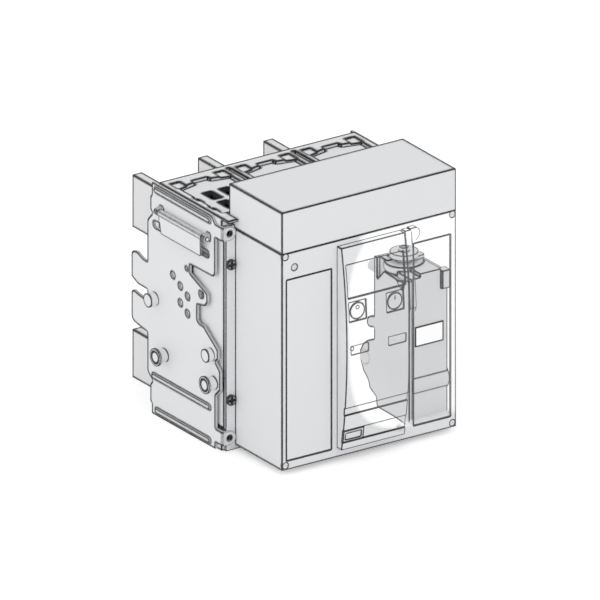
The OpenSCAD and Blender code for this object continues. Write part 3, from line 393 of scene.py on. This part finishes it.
def grain_bump(sheet, height, strength):
    """A Normal that follows a fine height map."""
    inputs = {"Height": height, "Strength": strength, "Distance": GRAIN_DEPTH}
    return sheet.node("ShaderNodeBump", inputs=inputs)


def moulded(sheet, grey, strength):
    """Gives a shader the grain and the gloss of a mould, and returns the cloudy grey."""
    fine = surface_noise(sheet, GRAIN_SCALE, GRAIN_DETAIL)
    sheet.set(sheet.shader, {
        "Roughness": DULLNESS + fine * GRAIN_GLOSS,
        "Normal": grain_bump(sheet, fine, strength),
        "Specular IOR Level": PLASTIC_SHINE,
    })
    return sheet.blend(surface_noise(sheet, CLOUD_SCALE, CLOUD_DETAIL) * CLOUD_SHARE, grey, WHITE)


def plastic(name, grey, ink=INK, line=1.0, reach=LINE, gains=GAINS):
    """An opaque moulded plastic with drawn edges."""
    sheet = Sheet(name)
    colour = moulded(sheet, grey, MOULD_GRAIN)
    sheet.set(sheet.shader, {"Base Color": outlined(sheet, colour, ink, line, reach, gains)})
    return sheet


print("cells of the grain are", round(1 / GRAIN_SCALE / MM, 2), "mm wide")

# %% [markdown]
# ## Plated sheet steel
# The side plates are zinc plated sheet. The rolling of the sheet leaves long faint streaks, and
# the plating dulls the shine, so the metal reads as a pale grey and not as a mirror. A noise that
# is stretched along the sheet makes the streaks.

# %% Mix a plated steel
STREAKS_ACROSS = 900
STREAKS_ALONG = 30
STREAK_DETAIL = 2.0
STREAK_SHARE = 0.10
STREAK_GLOSS = 0.12
ROLLED_GRAIN = 0.12


def plated_steel(name, grey, metallic=0.12, line=1.0, reach=LINE):
    """Zinc plated sheet with streaks along its length."""
    sheet = Sheet(name)
    where = sheet.node("ShaderNodeTexCoord", output="Object")
    stretch = {0: where, 1: (STREAKS_ACROSS, STREAKS_ALONG, STREAKS_ACROSS)}
    long = sheet.node("ShaderNodeVectorMath", {"operation": "MULTIPLY"}, stretch)
    inputs = {"Vector": long, "Scale": 1.0, "Detail": STREAK_DETAIL}
    streak = sheet.node("ShaderNodeTexNoise", inputs=inputs)
    tint = sheet.blend(streak * STREAK_SHARE, grey, WHITE)
    sheet.set(sheet.shader, {
        "Base Color": outlined(sheet, tint, INK, line, reach),
        "Roughness": DULLNESS + streak * STREAK_GLOSS,
        "Metallic": metallic,
        "Normal": grain_bump(sheet, streak, ROLLED_GRAIN),
    })
    return sheet


print("streaks are", round(1 / STREAKS_ALONG / MM), "mm long")

# %% [markdown]
# ## The cover's own plastic
# The cover, the bezel and what is set in them share one plastic, with the oval added: inside it
# the plastic lets the light through and is painted white, a painted highlight over the oval, and
# its edges stay as softer lines. Only the skin keeps its lines. What lies deeper, such as a button's
# stem or the inner side of the cover, clears completely, as a drawing leaves hidden lines away.
#
# The bezel is curved, so its skin isn't a plane. The curve is part of a large circle, and close
# to its middle a circle is a parabola, which needs one multiplication.

# %% Measure the bezel's curve
END_BAND = 0.5 * MM
bezel = nodes["bezel"]
corners = [bezel.matrix_world @ v.co for v in bezel.data.vertices]
end_y = min(c.y for c in corners if c.z > bezel_high.z - END_BAND)
bezel_sag = end_y - bezel_low.y
bezel_bend = bezel_sag / ((bezel_high.z - bezel_low.z) / 2) ** 2
print("the bezel's ends lie", round(bezel_sag / MM, 2), "mm behind its middle")

# %% Tell the skin from what lies behind it
SKIN = 1.7 * MM
SIDE = 0.4 * MM


def behind_plane(place):
    """1 on what lies behind the cover's face or under the bezel."""
    x, y, z = place
    across = (x > bezel_low.x - SIDE) * (x < bezel_high.x + SIDE)
    up = (z > bezel_low.z - SIDE) * (z < bezel_high.z + SIDE)
    return 1 - (y < face_y + SKIN) * (1 - across * up)


def behind_curve(place):
    """1 on what lies behind the bezel's curved face, apart from its left side and its top."""
    x, y, z = place
    up = z - bezel_mid
    deep = y - (up * up * bezel_bend + bezel_low.y) > SKIN
    return deep * (x > bezel_low.x + SIDE) * (z < bezel_high.z - SIDE)


def behind_all(place):
    """1 everywhere, for a piece that the drawing leaves away inside the oval."""
    return 1


def inner_face(place, low, high):
    """1 on the faces of a shell that lie within its outer box."""
    x, y, z = place
    sides = (x > low.x + SIDE) * (x < high.x - SIDE)
    return sides * (y > low.y + SIDE) * (z > low.z + SIDE) * (z < high.z - SIDE)


print("the skin is taken as", round(SKIN / MM, 1), "mm thick")

# %% Mix the see-through plastic
VEIL = 0.03
FRONT_WALL = 2.6 * MM
SIDE_WALL = 4.4 * MM
CLEAR_GRAIN = 0.2


def ghost_plastic(name, grey, behind, reach=THIN_LINE, shell=None):
    """Plastic that clears inside the oval, and its lines with it where behind says so.

    A shell is the name of a node that clears in its front wall only and has no lines inside. In
    front of its side walls it is painted white as a highlight, but lets nothing through.
    """
    sheet = Sheet(name)
    place = sheet.place()
    x, y, z = place
    oval = oval_mask(sheet, x, z)
    clear = oval
    edge = edge_mask(sheet, reach)
    if shell:
        low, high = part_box(shell)
        oval = oval * (y < low.y + FRONT_WALL)
        clear = oval * (x > low.x + SIDE_WALL) * (x < high.x - SIDE_WALL)
        edge = edge * (1 - inner_face(place, low, high))
    hidden = oval * behind(place)
    edge = edge * (1 - hidden)
    # Inside the oval the plastic is painted white, a painted highlight, which is all that shows where it
    # stays opaque.
    body = sheet.blend(oval, moulded(sheet, grey, CLEAR_GRAIN), WHITE)
    ink = sheet.blend(oval, INK, SOFT_INK)
    sheet.set(sheet.shader, {
        "Base Color": sheet.blend(edge, body, ink),
        "Alpha": 1 - clear * (1 - edge) * (1 - (1 - hidden) * VEIL),
    })
    return sheet


print("the clear front keeps", round(VEIL * 100), "parts in a hundred of its white")

# %% [markdown]
# ## Inside the bay
# Behind the see-through front the drawing is plain white. Hardly any light gets so far in, so the
# bay of the case, the frame and the mechanism's cover give a white light of their own there. It
# lights the gear motor from all round, which then shows its own grey. A lamp in the bay would throw
# the motor's shadow on these walls. The mask is the space inside the cover, so the same pieces keep
# their grey outside.

# %% Let a place give light, or paint it
MARGIN = 0.5 * MM


def inside_mask(sheet):
    """1 on faces within the cover and the bay, and 0 on the outer faces."""
    x, y, z = sheet.place()
    wide = abs(x) < cover_high.x - MARGIN
    tall = (z > cover_low.z + MARGIN) * (z < cover_high.z - MARGIN)
    deep = (y > face_y + SKIN) * (y < bay_back + MARGIN)
    return wide * tall * deep


def glow(sheet, mask, colour=WHITE):
    """Lets what a mask picks give light of that colour, in place of its own colour."""
    sheet.set(sheet.shader, {
        "Base Color": sheet.blend(mask, sheet.fed_by("Base Color"), BLACK),
        "Emission Color": sheet.blend(mask, BLACK, colour),
        "Emission Strength": 1.0,
    })


def paint(sheet, mask, colour):
    """Paints what a mask picks over the colour that is there, with its lines."""
    sheet.set(sheet.shader, {"Base Color": sheet.blend(mask, sheet.fed_by("Base Color"), colour)})


print("the bay is", round((bay_back - face_y) / MM, 1), "mm deep behind the cover's face")

# %% [markdown]
# ## Painted shade and softer lines
# Some places on a piece aren't shown in the piece's plain grey. The slots between the poles and the
# vents of the arc chutes are so deep that no light comes back out of them, so their shade is
# painted on in a dark grey. The upright cut edges of the frame face sideways, and their shade is
# painted on as well, in a darker grey. The cut walls of the side plates are only as wide as the
# sheet is thick, so lines on them have to be softer than on the flat sides. Each place could be a
# mesh of its own, but the pieces are one moulding or one sheet, so each place is a mask, picked by
# where it lies on the piece or by the way it faces.

# %% Pick places on the case, the chutes and the steel
SLOT_RIM = 3 * MM
SLOT_FRONT = 14 * MM
SLOT_DEPTH = 40 * MM
VENT_RIM = 0.7 * MM
SHADED_SIDE_BAND = 0.2 * MM
SIDEWAYS = 0.5
WALL_SHARE = 0.55


def deep_slots(sheet):
    """1 down in the slots in the top of the case, where no light reaches."""
    x, y, z = sheet.place()
    along = (y > case_low.y + SLOT_FRONT) * (y < case_high.y - SLOT_RIM)
    down = (z > case_high.z - SLOT_DEPTH) * (z < case_high.z - SLOT_RIM)
    return (abs(x) < case_high.x - SLOT_RIM) * along * down


def under_vents(sheet):
    """1 on an arc chute's walls below its top."""
    return sheet.place()[2] < chute_top - VENT_RIM


def shaded_cut_edge(sheet):
    """1 on the upright cut edges of the front frame, where shade is painted in a dark grey."""
    return abs(sheet.place()[0]) > frame_side - SHADED_SIDE_BAND


def cut_wall(sheet):
    """1 on the cut walls of a side plate, and 0 on its flat sides."""
    across = sheet.parts(sheet.node("ShaderNodeNewGeometry", output="Normal"))[0]
    return abs(across) < SIDEWAYS


print("slots are dark from", round(SLOT_RIM / MM), "to", round(SLOT_DEPTH / MM), "mm under the top")

# %% [markdown]
# The gear motor needs four such places. The back of its housing can be seen past its side, and the
# drawing leaves it white, so it glows white there, a painted light. Its label is a white film with a
# printed border. The shaft of the ratchet wheel ends in a bore of its side plate: no line is drawn
# round that bore, and the shaft that fills it glows in the motor's grey, so no shade shows on it,
# although the wheel itself clears with the front.

# %% Pick places on the gear motor
MOTOR_REAR = 13 * MM
BORDER = 1.3 * MM
BORE_REACH = 6.6 * MM
SHAFT_REACH = 5.6 * MM
ratchet_low, ratchet_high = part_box("ratchet_shaft")
ratchet_axis = (ratchet_low + ratchet_high) / 2
motor_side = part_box("motor_side_plate")[0].x


def motor_rear(sheet):
    """1 on the back of the motor's housing, which the drawing leaves away; it glows white there."""
    return sheet.place()[1] > bay_back - MOTOR_REAR


def label_border(sheet):
    """1 on a narrow border of the motor's label."""
    low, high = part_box("motor_label")
    middle = (low + high) / 2
    x, _, z = sheet.place()
    sides = abs(x - middle.x) > high.x - middle.x - BORDER
    ends = abs(z - middle.z) > high.z - middle.z - BORDER
    return sides | ends


def near_ratchet(sheet, reach):
    """1 within that reach of the ratchet shaft's axis."""
    _, y, z = sheet.place()
    return (y - ratchet_axis.y) ** 2 + (z - ratchet_axis.z) ** 2 < reach ** 2


def fill_bore(sheet):
    """Keeps the shaft that fills the motor's bore in sight, glowing in the motor's grey so no shade shows
    on it.
    """
    solid = near_ratchet(sheet, SHAFT_REACH) * (sheet.place()[0] > motor_side - MARGIN)
    sheet.set(sheet.shader, {"Alpha": sheet.fed_by("Alpha") | solid})
    # The shaft glows in the motor's grey: painted light that hides its shade.
    glow(sheet, solid, MOTOR_GREY)


print("ratchet shaft's axis in mm:", round(ratchet_axis.y / MM, 1), round(ratchet_axis.z / MM, 1))

# %% [markdown]
# ## The finishes
# Each piece of the real object gets the finish that it has there. Shared functions mix them, and
# what changes is the grey, the strength and the reach of the lines, and how much of a metal shows.
# Small pieces have finer lines than large ones, so that the lines don't fill them. The gear motor
# has gains of its own, because it is drawn with more even lines.

# %% Finish the mouldings and the sheet steel
case_finish = plastic("case_plastic", PLASTIC_GREY)
paint(case_finish, deep_slots(case_finish), DARK_GREY)
glow(case_finish, inside_mask(case_finish))
chute_finish = plastic("chute_plastic", PLASTIC_GREY)
paint(chute_finish, under_vents(chute_finish), DARK_GREY)
hood_finish = plastic("hood_plastic", PLASTIC_GREY)
frame_finish = plated_steel("frame_steel", STEEL_GREY, reach=THIN_LINE)
# Painted shade on the frame's sideways cut edges.
paint(frame_finish, shaded_cut_edge(frame_finish), SHADED_SIDE_GREY)
glow(frame_finish, inside_mask(frame_finish))
plate_finish = plated_steel("zinc_steel", STEEL_GREY)
paint(plate_finish, cut_wall(plate_finish) * WALL_SHARE, STEEL_GREY)
grip_finish = plated_steel("grip_steel", STEEL_GREY, reach=FINE_LINE)
turned_finish = plated_steel("turned_steel", STEEL_GREY, reach=THIN_LINE)
roller_finish = plastic("roller_plastic", PLASTIC_GREY, reach=FINE_LINE)
screw_finish = plated_steel("screw_steel", STEEL_GREY, line=0)
frame_screw_finish = plated_steel("frame_screw_steel", SCREW_GREY)
blade_finish = plated_steel("silver_plated_copper", BLADE_GREY, metallic=0.2)
print("materials so far:", len(bpy.data.materials))

# %% Finish the see-through front
cover_finish = ghost_plastic("cover_plastic", PLASTIC_GREY, behind_plane, LINE, "front_cover")
glow(cover_finish, inside_mask(cover_finish))
panel_finish = ghost_plastic("panel_plastic", PLASTIC_GREY, behind_plane)
bezel_finish = ghost_plastic("bezel_plastic", PLASTIC_GREY, behind_curve, BEZEL_LINE)
button_finish = ghost_plastic("button_plastic", PLASTIC_GREY, behind_curve)
holder_finish = ghost_plastic("holder_plastic", PLASTIC_GREY, behind_curve, LINE)
handle_finish = ghost_plastic("handle_plastic", PLASTIC_GREY, behind_curve, FINE_LINE)
bracket_finish = ghost_plastic("bracket_plastic", WHITE, behind_all)
ratchet_finish = ghost_plastic("ratchet_steel", STEEL_GREY, behind_all)
fill_bore(ratchet_finish)
print("materials so far:", len(bpy.data.materials))

# %% Finish the gear motor and the works
MOTOR_GAINS = (0.4, 0)
CRANK_GAINS = (0, 0.5)
motor_finish = plastic("motor_plastic", MOTOR_GREY, MOTOR_INK, gains=MOTOR_GAINS)
# The back of the housing glows white, a painted light in place of its grey.
glow(motor_finish, motor_rear(motor_finish))
paint(motor_finish, near_ratchet(motor_finish, BORE_REACH), MOTOR_GREY)
crank_finish = plastic("crank_plastic", MOTOR_GREY, SOFT_INK, reach=THIN_LINE, gains=CRANK_GAINS)
label_finish = plastic("white_film", WHITE, line=0)
paint(label_finish, label_border(label_finish), INK)
pale_finish = plastic("pale_plastic", WHITE, line=0)
glow(pale_finish, inside_mask(pale_finish))
works_finish = plated_steel("works_steel", STEEL_GREY, metallic=0.3, line=0.5)
glow(works_finish, inside_mask(works_finish))
shaft_finish = plated_steel("dark_steel", DARK_GREY, metallic=0.6, line=0.5, reach=FINE_LINE)
spring_finish = plated_steel("spring_steel", SPRING_GREY, metallic=0.5)
splitter_finish = plated_steel("splitter_steel", DARK_GREY, metallic=0.4, line=0.5)
print("materials so far:", len(bpy.data.materials))

# %% [markdown]
# ## Giving each node its finish
# The list says which pieces have which finish. Every node gets one, also those that hardly show,
# because the object is looked at from all sides. A node that the list forgets would be printed.


# %% Dress the nodes
def each_pole(name):
    """The three nodes of a piece that every pole has."""
    return [f"{name}_{pole}" for pole in (1, 2, 3)]


def both_sides(name):
    """The left and the right node of a piece."""
    return [f"{name}_left", f"{name}_right"]


DRESS = {
    case_finish: ["case_base"],
    chute_finish: each_pole("arc_chute"),
    hood_finish: ["top_hood"],
    frame_finish: ["front_frame"],
    plate_finish: both_sides("side_plate"),
    grip_finish: both_sides("grip") + ["grip_pins"],
    turned_finish: ["guide_studs", "roller_axles"],
    roller_finish: both_sides("roller_front") + both_sides("roller_rear") + ["shaft_bushes"],
    screw_finish: ["cover_screws"],
    frame_screw_finish: ["frame_screws"],
    blade_finish: each_pole("upper_terminal") + each_pole("lower_terminal") + each_pole("moving_contact"),
    cover_finish: ["front_cover"],
    panel_finish: ["left_panel", "clear_panel"],
    bezel_finish: ["bezel"],
    button_finish: ["off_button", "on_button"],
    holder_finish: ["label_holder"],
    handle_finish: ["charging_handle"],
    bracket_finish: ["bezel_bracket", "position_flag", "charge_flag", "handle_shaft"],
    ratchet_finish: ["ratchet_shaft"],
    motor_finish: ["motor_side_plate", "motor_housing"],
    crank_finish: ["motor_crank", "motor_pawl"],
    label_finish: ["motor_label"],
    pale_finish: ["mech_cover", "terminal_blocks"],
    works_finish: both_sides("mech_side") + ["spring_bars", "spring_rod", "spring_crosshead"],
    shaft_finish: ["pole_shaft"],
    spring_finish: ["closing_spring"],
    splitter_finish: ["arc_plates"],
}
for sheet, names in DRESS.items():
    for name in names:
        nodes[name].data.materials.clear()
        nodes[name].data.materials.append(sheet.owner)
bare = sorted(set(nodes) - {name for names in DRESS.values() for name in names})
print("dressed", len(nodes) - len(bare), "nodes; without a finish:", bare)

# %% [markdown]
# ## Adding a piece
# A new piece has to say two things besides its shape: its finish and the body that it moves with.
# One function does both.


# %% Add a piece to the object
def add_piece(name, mesh, sheet, body):
    """Makes an object of a bmesh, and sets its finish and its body."""
    data = bpy.data.meshes.new(name)
    mesh.to_mesh(data)
    mesh.free()
    piece = bpy.data.objects.new(name, data)
    bpy.context.scene.collection.objects.link(piece)
    data.materials.append(sheet.owner)
    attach(piece, body)
    print(name, "has", len(data.polygons), "faces and rides on", body)
    return piece


# %% [markdown]
# ## Signs on the controls
# The round buttons carry the two signs that every switch has: a ring for off and a bar for on. The
# flag in the left hand window has a small ring as well. They are thin raised prints that ride on
# the buttons and on the flag, so they move with them. A picture on the surface would also do, but a
# print with a real height keeps its sharp edge from close by.

# %% Shape a ring and a bar
PRINT_HEIGHT = 0.25 * MM
RING_CORNERS = 40


def ring_print(centre, outer, inner):
    """A flat ring that faces the front."""
    mesh = bmesh.new()
    rings = []
    angles = [2 * math.pi * k / RING_CORNERS for k in range(RING_CORNERS)]
    for radius, depth in ((inner, 0), (outer, 0), (outer, -PRINT_HEIGHT), (inner, -PRINT_HEIGHT)):
        offsets = [Vector((radius * math.cos(a), depth, radius * math.sin(a))) for a in angles]
        rings.append([mesh.verts.new(centre + o) for o in offsets])
    for here, there in zip(rings, rings[1:] + rings[:1]):
        for k in range(RING_CORNERS):
            after = (k + 1) % RING_CORNERS
            mesh.faces.new((here[k], here[after], there[after], there[k]))
    bmesh.ops.recalc_face_normals(mesh, faces=mesh.faces)
    return mesh


def bar_print(centre, width, height):
    """A flat upright bar that faces the front."""
    mesh = bmesh.new()
    bmesh.ops.create_cube(mesh, size=1)
    bmesh.ops.scale(mesh, vec=(width, PRINT_HEIGHT, height), verts=mesh.verts)
    bmesh.ops.translate(mesh, vec=centre - Vector((0, PRINT_HEIGHT / 2, 0)), verts=mesh.verts)
    return mesh


print("prints are", round(PRINT_HEIGHT / MM, 2), "mm high")

# %% Print the signs
SIGN_LIFT = Vector((0, 0, 3.4 * MM))
OFF_RING = (2.1 * MM, 1.4 * MM)
ON_BAR = (0.9 * MM, 4.0 * MM)
FLAG_RING = (2.3 * MM, 1.6 * MM)
FLAG_SHOWN = 10.6 * MM
FLAG_ASIDE = Vector((6.4 * MM, 0, 0))


def button_face(name):
    """The middle of a button's front face."""
    low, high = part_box(name)
    return Vector(((low.x + high.x) / 2, low.y, (low.z + high.z) / 2))


def window_face(name):
    """The middle of what shows of a flag in its window: the front of its upper part."""
    low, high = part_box(name)
    return Vector(((low.x + high.x) / 2, low.y, high.z - FLAG_SHOWN / 2))


print_finish = plastic("print", INK, line=0)
off_mesh = ring_print(button_face("off_button") + SIGN_LIFT, *OFF_RING)
on_mesh = bar_print(button_face("on_button") + SIGN_LIFT, *ON_BAR)
window_mesh = ring_print(window_face("position_flag") - FLAG_ASIDE, *FLAG_RING)
add_piece("off_sign", off_mesh, print_finish, "off_button")
add_piece("on_sign", on_mesh, print_finish, "on_button")
add_piece("window_sign", window_mesh, print_finish, "position_flag")

# %% [markdown]
# ## The closing spring
# The spring between its lower bar and the crosshead gets shorter when the crosshead comes down. A
# rigid node can't do that, so a coil of the same size stands for it here. The coil keeps its full
# length: the share of it that the crosshead's travel leaves is worked out, but not used.

# %% Wind the spring
SPRING_TURNS = 9
WIRE_RADIUS = 1.4 * MM
COIL_STEPS = 24
WIRE_SIDES = 10


def coil(low, high, wire, turns):
    """A round wire of that radius, wound on an upright helix that fills this box."""
    mesh = bmesh.new()
    centre = (low + high) / 2
    radius = (high.x - low.x) / 2 - wire
    rise = high.z - low.z - 2 * wire
    lean = math.atan(rise / (turns * 2 * math.pi * radius))
    steps = turns * COIL_STEPS
    angles = [2 * math.pi * k / WIRE_SIDES for k in range(WIRE_SIDES)]
    rings = []
    for i in range(steps + 1):
        a = 2 * math.pi * i / COIL_STEPS
        out = Vector((math.cos(a), math.sin(a), 0))
        up = Vector((math.sin(lean) * math.sin(a), -math.sin(lean) * math.cos(a), math.cos(lean)))
        middle = Vector((centre.x, centre.y, low.z + wire + rise * i / steps)) + out * radius
        offsets = [(out * math.cos(b) + up * math.sin(b)) * wire for b in angles]
        rings.append([mesh.verts.new(middle + o) for o in offsets])
    for here, there in zip(rings, rings[1:]):
        for k in range(WIRE_SIDES):
            after = (k + 1) % WIRE_SIDES
            mesh.faces.new((here[k], here[after], there[after], there[k]))
    mesh.faces.new(rings[0])
    mesh.faces.new(rings[-1])
    bmesh.ops.recalc_face_normals(mesh, faces=mesh.faces)
    return mesh


spring_low, spring_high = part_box("closing_spring")
spring_length = spring_high.z - spring_low.z
spring_travel = next(j for j in frame["joints"] if j["name"] == "crosshead_slide")["range_m"][1]
spring_mesh = coil(spring_low, spring_high, WIRE_RADIUS, SPRING_TURNS)
spring = add_piece("spring_coil", spring_mesh, spring_finish, "frame")
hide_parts("closing_spring")
(spring_length - spring_travel) / spring_length
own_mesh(spring)
print("the spring is", round(spring_length / MM, 1), "mm long and loses", round(spring_travel / MM, 1))

# %% [markdown]
# ## Floor and background
# The page behind the drawing is white. The floor gives back most of the light, and adds a share of
# its own for what the camera sees of it, straight, in a gloss or through the clear front. So open
# floor is white, and the object still leaves a soft shadow on it.

# %% Lay the floor
FLOOR_SIZE = 6.0
FLOOR_DROP = 0.2 * MM
FLOOR_GREY = linear(240, 240, 240)
FLOOR_SHARE = 0.28


def floor_finish():
    """A matt pale floor with a light of its own where it is seen."""
    sheet = Sheet("floor")
    strength = sheet.seen() * FLOOR_SHARE
    light = sheet.node("ShaderNodeEmission", inputs={"Color": WHITE, "Strength": strength})
    matt = sheet.node("ShaderNodeBsdfDiffuse", inputs={"Color": FLOOR_GREY})
    total = sheet.node("ShaderNodeAddShader", inputs={0: matt, 1: light})
    sheet.set(sheet.tree.nodes["Material Output"], {"Surface": total})
    return sheet


def make_floor():
    """A wide pale floor just under the object."""
    mesh = bmesh.new()
    bmesh.ops.create_grid(mesh, x_segments=1, y_segments=1, size=FLOOR_SIZE / 2)
    data = bpy.data.meshes.new("floor")
    mesh.to_mesh(data)
    mesh.free()
    data.materials.append(floor_finish().owner)
    floor = bpy.data.objects.new("floor", data)
    floor.location.z = -FLOOR_DROP
    bpy.context.scene.collection.objects.link(floor)


make_floor()
print("floor is", FLOOR_SIZE, "m wide")

# %% [markdown]
# ## Light
# The drawing has one grey for the top and for both upright sides, so no side may be much brighter
# than another. The world lights all of them. It gives the object a little less than white light, and
# is white where the camera sees it, also in a gloss. Two large low lamps lift the upright faces to
# the level of the top.

# %% Light the set
WORLD_LIGHT = 0.93
LAMP_POWER = 3.7
LAMP_SIZE = 1.6
LAMP_DISTANCE = 1.6
LAMPS = {"left": (-1.0, -0.25, 0.2), "front": (-0.2, -1.0, 0.2)}


def make_world():
    """A white surround that the camera sees as pure white."""
    sheet = Sheet("studio", bpy.data.worlds, "Background")
    level = WORLD_LIGHT + sheet.seen() * (1 - WORLD_LIGHT)
    sheet.set(sheet.shader, {"Color": (1, 1, 1, 1), "Strength": level})
    bpy.context.scene.world = sheet.owner


def add_lamp(name, direction):
    """A large square lamp that shines on the object from that side."""
    lamp = bpy.data.objects.new(name, bpy.data.lights.new(name, "AREA"))
    lamp.data.energy = LAMP_POWER
    lamp.data.size = LAMP_SIZE
    middle = (cad_low + cad_high) / 2
    lamp.location = middle + Vector(direction).normalized() * LAMP_DISTANCE
    lamp.rotation_mode = "QUATERNION"
    lamp.rotation_quaternion = (middle - lamp.location).to_track_quat("-Z", "Y")
    bpy.context.scene.collection.objects.link(lamp)


make_world()
for name, direction in LAMPS.items():
    add_lamp(name, direction)
print("world level", WORLD_LIGHT, "and", len(LAMPS), "lamps of", LAMP_POWER, "W")
